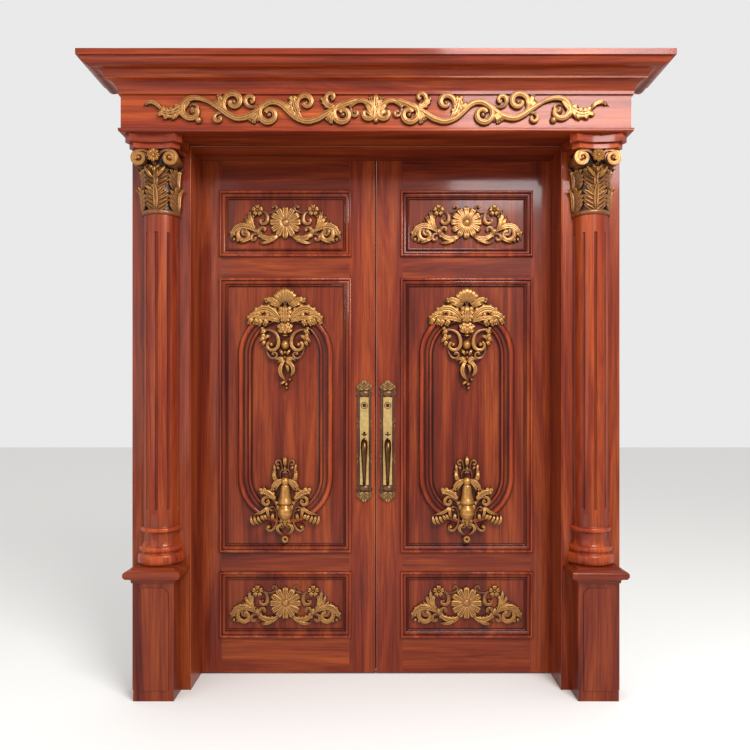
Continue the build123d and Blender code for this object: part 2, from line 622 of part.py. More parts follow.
def lever_slot(y0, y1):
    """The slot that the thumb lever's tail swings in."""
    half = LEVER_STEM / 2 + RUN_CLEARANCE
    rise = LEVER_SLOT_HEIGHT / 2
    return block(HANDLE_X - half, HANDLE_X + half, y0, y1, LEVER_Z - rise, LEVER_Z + rise)


def bolt_channel(z, height, x0, x1):
    """The way of a bolt, with running clearance on its four sides."""
    half = BOLT_WIDTH / 2 + RUN_CLEARANCE
    rise = height / 2 + RUN_CLEARANCE
    return block(x0, x1, lock_y - half, lock_y + half, z - rise, z + rise)


def forend(z, height):
    """A face plate let into the meeting edge."""
    half = FOREND_WIDTH / 2
    return block(leaf_x0, leaf_x0 + FOREND_THICK, lock_y - half, lock_y + half, z - height / 2, z + height / 2)


def lock_body():
    """The lock's case and face plate as one block, before the bolts' ways are cut."""
    half = CASE_WIDTH / 2
    case = block(leaf_x0 + FOREND_THICK, leaf_x0 + CASE_DEPTH, lock_y - half, lock_y + half,
                 LOCK_Z - CASE_HEIGHT / 2, LOCK_Z + CASE_HEIGHT / 2)
    return case + forend(LOCK_Z, FOREND_HEIGHT)


def make_lock_case():
    """The mortise lock's case with the two bolts' ways."""
    back = leaf_x0 + CASE_DEPTH - FOREND_THICK
    case = lock_body() - bolt_channel(DEAD_Z, DEAD_HEIGHT, leaf_x0, back)
    return case - bolt_channel(LATCH_Z, LATCH_HEIGHT, leaf_x0, back)


def make_dead_bolt():
    """The dead bolt, drawn back into the lock."""
    x0 = leaf_x0 + BOLT_SET
    half = BOLT_WIDTH / 2
    rise = DEAD_HEIGHT / 2
    return block(x0, x0 + BOLT_LENGTH, lock_y - half, lock_y + half, DEAD_Z - rise, DEAD_Z + rise)


def make_latch_bolt():
    """The latch bolt, drawn back, with its nose sloped on the side that meets the strike first."""
    x0 = leaf_x0 + BOLT_SET
    half = BOLT_WIDTH / 2
    x1 = x0 + BOLT_LENGTH
    section = outline([(x0, lock_y - half), (x1, lock_y - half), (x1, lock_y + half),
                       (x0 + LATCH_THROW, lock_y + half)])
    return Pos(0, 0, LATCH_Z - LATCH_HEIGHT / 2) * extrude(section, amount=LATCH_HEIGHT)


def strike_ways(x0, x1):
    """The two holes that the bolts enter, on the strike's own side."""
    return other_hand(bolt_channel(DEAD_Z, DEAD_HEIGHT, x0, x1) + bolt_channel(LATCH_Z, LATCH_HEIGHT, x0, x1))


def make_meeting_stile():
    """A right meeting stile, before the lock or the strike is let in."""
    return block(leaf_x0, panel_x0, leaf_front, leaf_back, leaf_z0, leaf_z1) - furniture_holes()


def make_rails():
    """The four rails of the right leaf, between its stiles."""
    spans = [(leaf_z0, bottom_z0), (bottom_z1, middle_z0), (middle_z1, upper_z0), (upper_z1, leaf_z1)]
    return [block(panel_x0, panel_x1, leaf_front, leaf_back, z0, z1) for z0, z1 in spans]


def make_panel(z0, z1):
    """One flat panel held between the front and the back mouldings."""
    return block(panel_x0, panel_x1, panel_front, panel_back, z0, z1)


def panel_moulding(z0, z1):
    """A mitred moulding round one panel, on the front of the right leaf."""
    x0 = panel_x0 - MOULD_LAP
    x1 = panel_x1 + MOULD_LAP
    top = z1 + MOULD_LAP
    middle = (z0 + z1) / 2
    y = panel_front
    path = Polyline((x0, y, middle), (x0, y, top), (x1, y, top), (x1, y, middle))
    points = scaled(MOULD_SHARES, MOULD_WIDTH, PANEL_SINK + MOULD_RISE)
    points[0] = (0, PANEL_SINK)
    points += [(MOULD_LAP, 0), (MOULD_LAP, PANEL_SINK)]
    plane = Plane(origin=(x0, y, middle), x_dir=(1, 0, 0), z_dir=(0, 0, -1))
    upper = sweep(plane * outline(points), path=path, transition=Transition.RIGHT)
    return upper + mirror(upper, about=Plane(origin=(0, 0, middle), z_dir=(0, 0, 1)))


def make_panel_mouldings():
    """The mouldings of the right leaf's three panels, front and back."""
    spans = [(bottom_z0, bottom_z1), (middle_z0, middle_z1), (upper_z0, upper_z1)]
    front = [panel_moulding(z0, z1) for z0, z1 in spans]
    middle = Plane(origin=(0, lock_y, 0), z_dir=(0, 1, 0))
    return front + [mirror(run, about=middle) for run in front]


def make_capsule_moulding():
    """The raised moulding with round ends on the middle panel."""
    half = CAPSULE_WIDTH / 2
    straight = CAPSULE_HEIGHT / 2 - half
    left = panel_x - half
    right = panel_x + half
    z0 = capsule_z - straight
    z1 = capsule_z + straight
    y = panel_front
    path = Wire([
        Line((left, y, z0), (left, y, z1)),
        ThreePointArc((left, y, z1), (panel_x, y, z1 + half), (right, y, z1)),
        Line((right, y, z1), (right, y, z0)),
        ThreePointArc((right, y, z0), (panel_x, y, z0 - half), (left, y, z0)),
    ])
    section = outline(scaled(CAPSULE_SHARES, CAPSULE_BAND, CAPSULE_RISE))
    plane = Plane(origin=(left, y, z0), x_dir=(1, 0, 0), z_dir=(0, 0, -1))
    return sweep(plane * section, path=path)


def capsule_band():
    """The room that the capsule moulding takes, which the cartouches bridge."""
    outer = SlotOverall(CAPSULE_HEIGHT, CAPSULE_WIDTH, rotation=90)
    inner = SlotOverall(CAPSULE_HEIGHT - 2 * CAPSULE_BAND, CAPSULE_WIDTH - 2 * CAPSULE_BAND, rotation=90)
    return facing_front(panel_x, panel_front, capsule_z) * extrude(outer - inner, amount=CAPSULE_RISE)


def scroll_spine(through, eye, radius, turns, hand):
    """The middle line of a scroll: through its points, then tangent into a spiral round its eye."""
    last = through[-1]
    away = math.atan2(last[1] - eye[1], last[0] - eye[0])
    start = away + hand * math.acos(min(1, radius / math.dist(last, eye)))
    count = max(SCROLL_FACETS // 2, round(turns * SCROLL_FACETS))
    spine = list(through)
    for i in range(count + 1):
        share = i / count
        angle = start + hand * 2 * math.pi * turns * share
        reach = radius * (1 - SCROLL_CLOSE_SHARE * share)
        spine.append((eye[0] + reach * math.cos(angle), eye[1] + reach * math.sin(angle)))
    return spine


def ribbon(spine, widths):
    """A flat band along a spine, from its first width through its middle width to its last."""
    last = len(spine) - 1
    left = []
    right = []
    for i, point in enumerate(spine):
        before = spine[max(0, i - 1)]
        after = spine[min(last, i + 1)]
        length = math.dist(before, after)
        normal = ((before[1] - after[1]) / length, (after[0] - before[0]) / length)
        share = 2 * i / last
        width = widths[0] + (widths[1] - widths[0]) * share
        if share > 1:
            width = widths[1] + (widths[2] - widths[1]) * (share - 1)
        left.append((point[0] + normal[0] * width / 2, point[1] + normal[1] * width / 2))
        right.append((point[0] - normal[0] * width / 2, point[1] - normal[1] * width / 2))
    return outline(left + right[::-1])


def leaf_blade(root, bend, tip, width):
    """A pointed leaf from its root to its tip, bent towards a point, cut with a few straight facets."""
    length = math.dist(root, tip)
    normal = ((root[1] - tip[1]) / length * width, (tip[0] - root[0]) / length * width)
    edge = []
    for side, shares in ((1, LEAF_EDGE_SHARES), (-1, LEAF_EDGE_SHARES[::-1])):
        for share in shares:
            pull = 2 * share * (1 - share)
            x = (1 - share) ** 2 * root[0] + pull * (bend[0] + side * normal[0]) + share ** 2 * tip[0]
            z = (1 - share) ** 2 * root[1] + pull * (bend[1] + side * normal[1]) + share ** 2 * tip[1]
            edge.append((x, z))
    return outline([root] + edge[:len(LEAF_EDGE_SHARES)] + [tip] + edge[len(LEAF_EDGE_SHARES):])


def boss(x, z, half_width, half_height):
    """An oval boss cut with straight facets."""
    turn = 2 * math.pi / BOSS_FACETS
    rim = [(math.cos(turn * i), math.sin(turn * i)) for i in range(BOSS_FACETS)]
    return outline([(x + half_width * u, z + half_height * v) for u, v in rim])


def carving(unit, rise, crown, scrolls, leaves, middles, bosses, extra):
    """A carving drawn for one half, mirrored, joined and raised, with its bosses crowned above it."""
    half = []
    for through, eye, radius, turns, hand, widths in scrolls:
        points = scaled(through, unit, unit)
        eye_point = (eye[0] * unit, eye[1] * unit)
        spine = scroll_spine(points, eye_point, radius * unit, turns, hand)
        half.append(ribbon(spine, [width * unit for width in widths]))
        eye_radius = radius * unit * SCROLL_EYE_SHARE
        half.append(boss(*eye_point, eye_radius, eye_radius))
    for root, bend, tip, width in leaves:
        half.append(leaf_blade(*scaled([root, bend, tip], unit, unit), width * unit))
    half += extra
    whole = half + [mirror(face, about=Plane.YZ) for face in half]
    for root, bend, tip, width in middles:
        whole.append(leaf_blade(*scaled([root, bend, tip], unit, unit), width * unit))
    crowns = []
    for x, z, half_width, half_height in bosses:
        for side in ((1, -1) if x else (1,)):
            place = (side * x * unit, z * unit, half_width * unit, half_height * unit)
            whole.append(boss(*place))
            crowns.append(boss(*place))
    relief = extrude(Sketch() + whole, amount=rise)
    for face in crowns:
        relief += extrude(face, amount=rise + crown)
    return relief


def petals(count, radius, width, centre, unit):
    """A ring of petals round a centre."""
    ring = []
    for i in range(count):
        angle = math.pi / 2 + 2 * math.pi * i / count
        reach = (radius * math.cos(angle), radius * math.sin(angle))
        tip = (centre[0] + reach[0], centre[1] + reach[1])
        bend = (centre[0] + reach[0] * PETAL_BEND_SHARE, centre[1] + reach[1] * PETAL_BEND_SHARE)
        ring.append(leaf_blade(*scaled([centre, bend, tip], unit, unit), width * unit))
    return ring


def make_frieze_carving():
    """The running scroll on the frieze, both ways from a palmette."""
    relief = carving(FRIEZE_CARVING_HALF, FRIEZE_CARVING_RISE, CROWN_RISE, FRIEZE_SCROLL_SHARES,
                     FRIEZE_LEAF_SHARES, FRIEZE_MIDDLE_SHARES, FRIEZE_BOSS_SHARES, [])
    z = soffit_z + FRIEZE_BEAD_HEIGHT + (FRIEZE_HEIGHT - FRIEZE_BEAD_HEIGHT) / 2
    return facing_front(0, frieze_front, z) * relief


def panel_relief():
    """The daisy between leaf scrolls that both small panels carry, on its drawing plane."""
    unit = PANEL_CARVING_HALF
    daisy = (0, DAISY_CENTRE_SHARE)
    flowers = petals(DAISY_PETALS, DAISY_RADIUS_SHARE, DAISY_PETAL_SHARE, daisy, unit)
    flowers += petals(ROSE_PETALS, ROSE_RADIUS_SHARE, ROSE_PETAL_SHARE, ROSE_PLACE_SHARES, unit)
    bosses = PANEL_BOSS_SHARES + [(*daisy, DAISY_EYE_SHARE, DAISY_EYE_SHARE)]
    return carving(unit, PANEL_CARVING_RISE, CROWN_RISE, PANEL_SCROLL_SHARES, PANEL_LEAF_SHARES, [], bosses,
                   flowers)


def make_panel_carvings():
    """The carvings of the right leaf's top and bottom panels."""
    relief = panel_relief()
    places = [(bottom_z0 + bottom_z1) / 2, (upper_z0 + upper_z1) / 2]
    return [facing_front(panel_x, panel_front, z) * relief for z in places]


def make_upper_cartouche():
    """The shell and acanthus drop at the head of the middle panel."""
    relief = carving(UPPER_CARTOUCHE_HALF, CARTOUCHE_RISE, CROWN_RISE, UPPER_SCROLL_SHARES, UPPER_LEAF_SHARES,
                     UPPER_MIDDLE_SHARES, UPPER_BOSS_SHARES, [])
    return facing_front(panel_x, panel_front, middle_z1 - UPPER_CARTOUCHE_DROP) * relief


def make_lower_cartouche():
    """The bell, crown and rocaille at the foot of the middle panel, with a ring below."""
    unit = LOWER_CARTOUCHE_HALF
    x, z, outer, inner = LOWER_RING_SHARES
    place = (x * unit, z * unit)
    ring = boss(*place, outer * unit, outer * unit) - boss(*place, inner * unit, inner * unit)
    relief = carving(unit, CARTOUCHE_RISE, CROWN_RISE, LOWER_SCROLL_SHARES, LOWER_LEAF_SHARES,
                     LOWER_MIDDLE_SHARES, LOWER_BOSS_SHARES, [ring.face()])
    return facing_front(panel_x, panel_front, middle_z0 + LOWER_CARTOUCHE_LIFT) * relief


def finial(up):
    """The lobed end of the handle plate, above it or below it."""
    half = FINIAL_WIDTH / 2
    lobes = []
    for x, z, radius in FINIAL_LOBE_SHARES:
        for side in ((1, -1) if x else (1,)):
            place = (side * x * half, up * (PLATE_HEIGHT / 2 + z * FINIAL_HEIGHT))
            lobes.append(boss(*place, radius * half, radius * half))
    return lobes


def lever_ear(side):
    """One of the two ears that carry the lever's axle."""
    inner = LEVER_STEM / 2 + RUN_CLEARANCE
    x0 = HANDLE_X + side * inner
    y = inlay_front - LEVER_AXLE_STANDOFF
    ear = round_bar((x0, y, LEVER_Z), (side, 0, 0), EAR_RADIUS, EAR_THICK)
    low, high = sorted((x0, x0 + side * EAR_THICK))
    ear += block(low, high, y, inlay_front, LEVER_Z - EAR_RADIUS, LEVER_Z + EAR_RADIUS)
    return ear - round_bar((x0, y, LEVER_Z), (side, 0, 0), LEVER_AXLE_RADIUS + AXLE_CLEARANCE, EAR_THICK)


def make_handle_plate():
    """The long plate of the handle set, with finials, a raised inlay, a plug collar and lever ears."""
    bite = NOTCH_RADIUS_SHARE * PLATE_WIDTH
    notches = [boss(side * PLATE_WIDTH / 2, share * PLATE_HEIGHT, bite, bite)
               for share in NOTCH_HEIGHT_SHARES for side in (-1, 1)]
    face = Sketch() + [Rectangle(PLATE_WIDTH, PLATE_HEIGHT)] + finial(1) + finial(-1) - notches
    straight = INLAY_HEIGHT - INLAY_WIDTH
    inlay = Rectangle(INLAY_WIDTH, straight) + Pos(0, straight / 2) * Circle(INLAY_WIDTH / 2)
    plane = facing_front(HANDLE_X, leaf_front, HANDLE_Z)
    plate = plane * (extrude(face, amount=PLATE_THICK) + extrude(inlay, amount=PLATE_THICK + INLAY_RISE))
    depth = PLATE_THICK + INLAY_RISE + PLUG_COLLAR_RISE
    plate += round_bar((HANDLE_X, leaf_front, PLUG_Z), (0, -1, 0), PLUG_COLLAR, depth)
    plate += lever_ear(1) + lever_ear(-1)
    plate -= round_bar((HANDLE_X, leaf_front, PLUG_Z), (0, -1, 0), PLUG_RADIUS + RUN_CLEARANCE, depth)
    return plate - lever_slot(inlay_front, leaf_front)


def make_key_plug():
    """The key plug, proud of its collar, with a keyway in its face."""
    front = inlay_front - PLUG_COLLAR_RISE - PLUG_PROUD
    length = lock_y - CASE_WIDTH / 2 - RUN_CLEARANCE - front
    plug = round_bar((HANDLE_X, front, PLUG_Z), (0, 1, 0), PLUG_RADIUS, length)
    keyway = block(HANDLE_X - KEYWAY_WIDTH / 2, HANDLE_X + KEYWAY_WIDTH / 2, front, front + KEYWAY_DEPTH,
                   PLUG_Z - PLUG_RADIUS / 2, PLUG_Z + PLUG_RADIUS / 2)
    return plug - keyway


def make_thumb_lever():
    """The thumb lever: a rounded pad, a stem between the ears with its axle, and a tail in the slot."""
    axle_y = inlay_front - LEVER_AXLE_STANDOFF
    pad_y = axle_y - EAR_RADIUS - RUN_CLEARANCE
    half = LEVER_WIDTH / 2
    pad = outline([(-half, 0), (-half, LEVER_LENGTH - half), (half, LEVER_LENGTH - half, .5), (half, 0)])
    plane = Plane(origin=(HANDLE_X, pad_y, LEVER_Z - LEVER_THICK / 2), x_dir=(-1, 0, 0), z_dir=(0, 0, 1))
    lever = plane * extrude(pad, amount=LEVER_THICK)
    stem_half = LEVER_STEM / 2
    tail_end = leaf_front + LEVER_TAIL - 2 * RUN_CLEARANCE
    lever += block(HANDLE_X - stem_half, HANDLE_X + stem_half, pad_y, tail_end,
                   LEVER_Z - LEVER_THICK / 2, LEVER_Z + LEVER_THICK / 2)
    span = LEVER_STEM / 2 + RUN_CLEARANCE + EAR_THICK
    lever += round_bar((HANDLE_X - span, axle_y, LEVER_Z), (1, 0, 0), LEVER_AXLE_RADIUS, 2 * span)
    return lever


def d_pull(x, face, forward, top_z0, foot_z0, reach):
    """A bowed grip that tapers from its top to its foot and meets its plate at both ends."""
    drop = top_z0 - foot_z0
    sections = []
    for down, out, tilt in GRIP_SECTION_SHARES:
        angle = math.pi / 2 * tilt
        direction = (0, forward * math.cos(angle), -math.sin(angle))
        centre = (x, face + forward * out * reach, top_z0 - down * drop)
        radius = GRIP_TOP_RADIUS + (GRIP_FOOT_RADIUS - GRIP_TOP_RADIUS) * down
        plane = Plane(origin=centre, x_dir=(1, 0, 0), z_dir=direction)
        sections.append(plane * RegularPolygon(radius, GRIP_FACETS))
    return loft(sections, ruled=True)


def make_grip():
    """The bowed grip below the thumb lever."""
    return d_pull(HANDLE_X, inlay_front, -1, GRIP_TOP_Z, GRIP_FOOT_Z, GRIP_REACH)


def make_inner_pull():
    """The plain pull on the back of a leaf: a plate, two posts and an upright bar."""
    plane = facing_back(HANDLE_X, leaf_back, (GRIP_TOP_Z + GRIP_FOOT_Z) / 2)
    pull = plane * extrude(SlotOverall(PULL_PLATE_HEIGHT, PULL_PLATE_WIDTH, rotation=90), amount=PLATE_THICK)
    bar_y = leaf_back + PLATE_THICK + PULL_REACH - GRIP_TOP_RADIUS
    pull += round_bar((HANDLE_X, bar_y, GRIP_FOOT_Z - GRIP_TOP_RADIUS), (0, 0, 1), GRIP_TOP_RADIUS,
                      GRIP_TOP_Z - GRIP_FOOT_Z + 2 * GRIP_TOP_RADIUS)
    for z in (GRIP_FOOT_Z, GRIP_TOP_Z):
        pull += round_bar((HANDLE_X, leaf_back, z), (0, 1, 0), GRIP_FOOT_RADIUS, bar_y - leaf_back)
    return pull


def save(name, shape):
    """Write one node, from one shape or from a list of them."""
    if isinstance(shape, list):
        shape = Compound(children=[solid for item in shape for solid in item.solids()])
    export_step(shape, os.path.join("parts", name + ".step"))


def save_pair(name, shape):
    """Write the right and the left piece of a pair."""
    items = shape if isinstance(shape, list) else [shape]
    save("right_" + name, items)
    save("left_" + name, [other_hand(item) for item in items])


def build_surround():
    """The fixed pieces: frame, casing, columns, frieze and cornice."""
    save_pair("jamb", make_jamb())
    save("head_jamb", make_head_jamb())
    save_pair("casing", make_casing())
    save("head_casing", make_head_casing())
    save_pair("pedestal", make_pedestal())
    save_pair("pedestal_cap", make_pedestal_cap())
    save_pair("column", make_column())
    save_pair("capital", make_capital())
    save_pair("abacus", make_abacus())
    inner = casing_x - BOARD_THICK
    board_y = frieze_front + BOARD_THICK
    save("soffit_board", block(-inner, inner, board_y, casing_front, soffit_z, soffit_z + BOARD_THICK))
    save("frieze_boards", make_frieze_boards())
    save("frieze_bead", three_sided_run(FRIEZE_BEAD_SHARES, FRIEZE_BEAD_REACH, FRIEZE_BEAD_HEIGHT, casing_x,
                                        frieze_front, casing_front, soffit_z))
    save("frieze_carving", make_frieze_carving())
    save("cornice", three_sided_run(CORNICE_SHARES, CORNICE_REACH, CORNICE_HEIGHT, casing_x,
                                    frieze_front, wall_face, cornice_z))
    save("cornice_top", block(-inner, inner, board_y, casing_front, top_z - BOARD_THICK, top_z))


def build_hinges():
    """The butt hinges: jamb plates and pins on the frame, leaf plates on the leaves."""
    jamb_turns = range(0, KNUCKLE_COUNT, 2)
    leaf_turns = range(1, KNUCKLE_COUNT, 2)
    jamb_plates = [hinge_half(rebate_x, rebate_x + HINGE_PLATE, z, jamb_turns) for z in hinge_zs]
    leaf_plates = [hinge_half(leaf_x1 - HINGE_PLATE, leaf_x1, z, leaf_turns) for z in hinge_zs]
    pins = [hinge_pin(z) for z in hinge_zs]
    save("jamb_hinge_plates", jamb_plates + [other_hand(plate) for plate in jamb_plates])
    save("hinge_pins", pins + [other_hand(pin) for pin in pins])
    save_pair("hinge_plates", leaf_plates)


def build_leaves():
    """The joinery and the carvings of both leaves."""
    save_pair("hinge_stile", make_hinge_stile())
    save("right_meeting_stile", make_meeting_stile() - lock_body())
    pocket = leaf_x0 + DEAD_THROW + BOLT_SET + FOREND_THICK
    strike_bed = other_hand(forend(LOCK_Z, FOREND_HEIGHT))
    save("left_meeting_stile", other_hand(make_meeting_stile()) - strike_bed - strike_ways(leaf_x0, pocket))
    save_pair("rails", make_rails())
    save_pair("small_panels", [make_panel(bottom_z0, bottom_z1), make_panel(upper_z0, upper_z1)])
    save_pair("middle_panel", make_panel(middle_z0, middle_z1))
    save_pair("panel_mouldings", make_panel_mouldings())
    save_pair("capsule_moulding", make_capsule_moulding())
    save_pair("panel_carvings", make_panel_carvings())
    save_pair("upper_cartouche", make_upper_cartouche() - capsule_band())
    save_pair("lower_cartouche", make_lower_cartouche() - capsule_band())


def build_furniture():
    """The handle sets, the pulls, the lock and its bolts."""
    save_pair("handle_plate", make_handle_plate())
    save_pair("grip", make_grip())
    save_pair("thumb_lever", make_thumb_lever())
    save_pair("key_plug", make_key_plug())
    save_pair("inner_pull", make_inner_pull())
    save("right_lock_case", make_lock_case())
    save("right_dead_bolt", make_dead_bolt())
    save("right_latch_bolt", make_latch_bolt())
    strike_bed = other_hand(forend(LOCK_Z, FOREND_HEIGHT))
    save("left_strike_plate", strike_bed - strike_ways(leaf_x0, leaf_x0 + FOREND_THICK))


os.makedirs("parts", exist_ok=True)
build_surround()
build_hinges()
build_leaves()
build_furniture()
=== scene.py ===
import math

import bmesh
import bpy
import numpy as np
from bpy.props import FloatProperty, FloatVectorProperty, IntProperty, PointerProperty
from bpy.types import Operator, Panel, PropertyGroup
from mathutils import Matrix, Vector


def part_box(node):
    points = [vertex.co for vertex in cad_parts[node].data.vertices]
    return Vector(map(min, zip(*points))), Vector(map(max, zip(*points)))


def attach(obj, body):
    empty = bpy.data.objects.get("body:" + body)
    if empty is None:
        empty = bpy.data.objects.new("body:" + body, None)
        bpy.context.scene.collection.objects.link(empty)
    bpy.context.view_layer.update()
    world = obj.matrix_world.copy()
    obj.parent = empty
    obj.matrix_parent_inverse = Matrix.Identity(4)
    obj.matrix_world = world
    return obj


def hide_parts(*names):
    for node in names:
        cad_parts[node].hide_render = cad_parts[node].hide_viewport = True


bl_info = {
    "name": "Carved double entrance door",
    "version": (1, 0, 0),
    "blender": (4, 5, 0),
    "location": "View3D > Sidebar > Door",
    "description": "Dresses a carved double door and its classical surround",
    "category": "Object",
}

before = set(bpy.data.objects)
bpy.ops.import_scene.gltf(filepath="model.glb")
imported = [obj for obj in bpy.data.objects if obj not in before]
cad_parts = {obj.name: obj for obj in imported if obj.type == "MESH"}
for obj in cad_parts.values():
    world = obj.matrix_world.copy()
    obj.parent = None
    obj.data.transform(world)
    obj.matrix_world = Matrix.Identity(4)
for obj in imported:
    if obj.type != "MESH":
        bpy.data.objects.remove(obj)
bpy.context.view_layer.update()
MM = 0.001
SIDES = {"left": -1, "right": 1}

# Carvings as shares of a unit, drawn for the right half and mirrored. A scroll has its root, the point it
# bends towards, its eye, the eye's radius, its turns, its hand and its width. A leaf or a petal has its
# root, the point it bends towards, its tip and its width. A ring has its centre, its number of petals, its
# radius and a petal's width. A boss is an oval. A turned form has rows of height and half width. Singles
# and beads aren't mirrored. The finial is in millimetres.
FRIEZE = {
    "weight": 1.3,
    "stems": [([
        (.06, .046), (.1, .04), (.19, 0), (.28, -.045), (.33, -.036), (.37, -.006), (.41, .03), (.45, .037),
        (.485, .018), (.52, -.01), (.585, -.033), (.625, -.02), (.66, .005), (.73, .046),
    ], .021)],
    "scrolls": [
        ((.114, .015), (.063, .071), (.037, -.01), .034, .7, 1, .022),
        ((.106, .033), (.114, -.006), (.089, -.01), .013, .8, -1, .012),
        ((.097, .041), (.2, .028), (.142, -.016), .036, .85, -1, .022),
        ((.162, .013), (.218, .02), (.192, .056), .02, .7, 1, .015),
        ((.325, -.023), (.355, .054), (.299, .035), .03, .7, 1, .02),
        ((.441, .033), (.506, .028), (.458, -.016), .038, .9, -1, .022),
        ((.493, .022), (.553, .003), (.536, .044), .022, .75, 1, .016),
        ((.622, -.023), (.673, .02), (.609, .039), .037, .9, 1, .022),
        ((.63, -.016), (.682, .003), (.673, -.032), .018, .7, -1, .014),
        ((.708, .035), (.802, .08), (.785, .001), .046, .62, -1, .024),
        ((.8, .02), (.79, .034), (.778, .009), .018, .8, 1, .011),
    ],
    "leaves": [
        ((0, -.03), (.016, .03), (.03, .07), .017), ((0, -.03), (.036, .01), (.05, .045), .017),
        ((0, -.035), (.03, -.01), (.056, .012), .015), ((.162, .013), (.226, .011), (.228, .07), .026),
        ((.179, .003), (.2, -.02), (.213, -.047), .018), ((.179, .003), (.188, -.03), (.196, -.06), .018),
        ((.179, .003), (.176, -.02), (.181, -.047), .015),
        ((.321, -.032), (.364, .011), (.353, .073), .036), ((.364, .004), (.385, .018), (.39, .041), .018),
        ((.37, 0), (.372, .02), (.374, .046), .014), ((.506, -.006), (.53, -.02), (.546, -.047), .018),
        ((.506, -.006), (.52, -.03), (.525, -.058), .018), ((.506, -.006), (.5, -.03), (.508, -.051), .015),
        ((.652, .015), (.675, .025), (.689, .047), .018), ((.652, .015), (.668, .045), (.672, .077), .02),
        ((.652, .015), (.645, .04), (.649, .067), .017), ((.8, .04), (.88, -.05), (.933, .012), .042),
        ((.915, 0), (.95, .06), (1, .02), .017), ((.832, .02), (.85, -.03), (.868, -.036), .014),
    ],
    "singles": [((0, -.049), (0, .02), (0, .082), .03)],
    "bosses": [(.759, -.039, .017, .017), (0, -.04, .014, .014)],
}
PANEL = {
    "weight": 1.25,
    "scrolls": [
        ((.207, .112), (.134, .083), (.103, .146), .026, .7, -1, .017),
        ((.212, .114), (.154, .107), (.204, .034), .042, .55, 1, .028),
        ((.29, -.039), (.407, .005), (.368, -.098), .062, .8, -1, .034),
        ((.28, -.068), (.339, -.015), (.359, -.075), .034, .9, -1, .022),
        ((.212, -.107), (.29, -.068), (.282, -.127), .028, .6, -1, .024),
        ((.183, -.137), (.241, -.102), (.2, -.056), .03, .6, 1, .024),
    ],
    "leaves": [
        ((.261, -.083), (.334, .024), (.28, .098), .036), ((.285, -.039), (.324, .044), (.326, .13), .034),
        ((.285, -.039), (.349, .015), (.365, .085), .032),
        ((.285, -.039), (.368, -.015), (.396, .036), .028),
        ((.261, -.068), (.456, .063), (.497, -.159), .056),
        ((.417, -.12), (.43, -.15), (.441, -.176), .024), ((.456, -.12), (.465, -.145), (.471, -.164), .02),
        ((.066, -.107), (.154, -.18), (.271, -.063), .05),
        ((.232, -.102), (.256, -.063), (.254, -.02), .028), ((.3, -.12), (.36, -.16), (.43, -.17), .03),
        ((.08, -.115), (.16, -.19), (.25, -.165), .03),
    ],
    "bosses": [(0, .013, .046, .046), (.251, .122, .014, .014)],
    "rings": [((0, .013), 12, .146, .058), ((.251, .122), 5, .051, .04)],
}
UPPER = {
    "petals": [
        ((.047, .335), (.1, .37), (.13, .395), .034), ((.033, .345), (.08, .4), (.108, .44), .036),
        ((.021, .35), (.055, .42), (.078, .47), .036), ((.01, .355), (.025, .43), (.04, .49), .036),
        ((0, .36), (0, .43), (0, .5), .04), ((.004, .08), (.03, .12), (.036, .165), .03),
        ((.02, .07), (.06, .1), (.07, .14), .03),
    ],
    "scrolls": [
        ((0, .318), (.012, .372), (.045, .344), .018, .7, -1, .018),
        ((.054, .165), (.1, .286), (.138, .213), .04, .85, -1, .036),
        ((.207, .086), (.045, .091), (.133, -.06), .068, .62, 1, .036),
        ((.186, -.072), (.175, -.207), (.108, -.159), .034, .7, -1, .022),
    ],
    "leaves": [
        ((.054, .314), (.128, .416), (.215, .351), .05), ((.063, .3), (.128, .351), (.175, .328), .03),
        ((.054, .184), (.175, .37), (.324, .221), .075), ((.231, .221), (.296, .267), (.37, .165), .06),
        ((.259, .221), (.3, .235), (.338, .262), .03), ((.054, .16), (.175, .221), (.338, .184), .045),
        ((.166, .184), (.19, .16), (.203, .122), .04), ((.221, .188), (.245, .16), (.263, .122), .04),
        ((.259, .193), (.285, .17), (.3, .132), .036), ((.305, .202), (.34, .175), (.356, .132), .036),
        ((.009, .267), (.045, .285), (.071, .318), .034), ((.009, .23), (.05, .245), (.08, .28), .034),
        ((.007, .193), (.045, .208), (.068, .242), .032), ((.006, .17), (.035, .175), (.054, .195), .026),
        ((.006, .07), (.04, .09), (.05, .148), .04), ((.008, .065), (.055, .06), (.078, .1), .028),
        ((.175, .078), (.22, .07), (.243, .035), .034), ((.189, .04), (.215, .03), (.234, -.01), .032),
        ((.189, .01), (.23, .0), (.251, -.05), .032), ((.189, -.021), (.21, -.045), (.221, -.085), .03),
        ((.2, .09), (.225, .1), (.25, .08), .026), ((.14, .02), (.19, .03), (.205, -.04), .028),
        ((.017, -.165), (.035, -.13), (.056, -.1), .024),
        ((.003, -.202), (.054, -.179), (.112, -.221), .028),
        ((.003, -.202), (.045, -.202), (.08, -.256), .028),
        ((.003, -.21), (.03, -.235), (.054, -.276), .026),
    ],
    "singles": [
        ((0, .15), (0, .25), (0, .342), .05), ((0, .06), (0, .11), (0, .158), .055),
        ((-.003, -.215), (-.1, -.328), (.02, -.42), .04), ((.011, -.215), (.135, -.291), (.039, -.38), .04),
        ((-.003, -.253), (.045, -.281), (.02, -.345), .026),
        ((.01, -.42), (-.04, -.43), (-.045, -.465), .022),
    ],
    "bosses": [
        (0, .058, .032, .03), (0, .026, .037, .014), (0, -.063, .05, .06), (0, -.137, .022, .022),
        (0, -.184, .018, .018), (.133, -.06, .03, .03),
    ],
    "beads": [(.046, -.402, .02), (-.031, -.438, .019), (.013, -.447, .025), (.016, -.484, .019)],
}
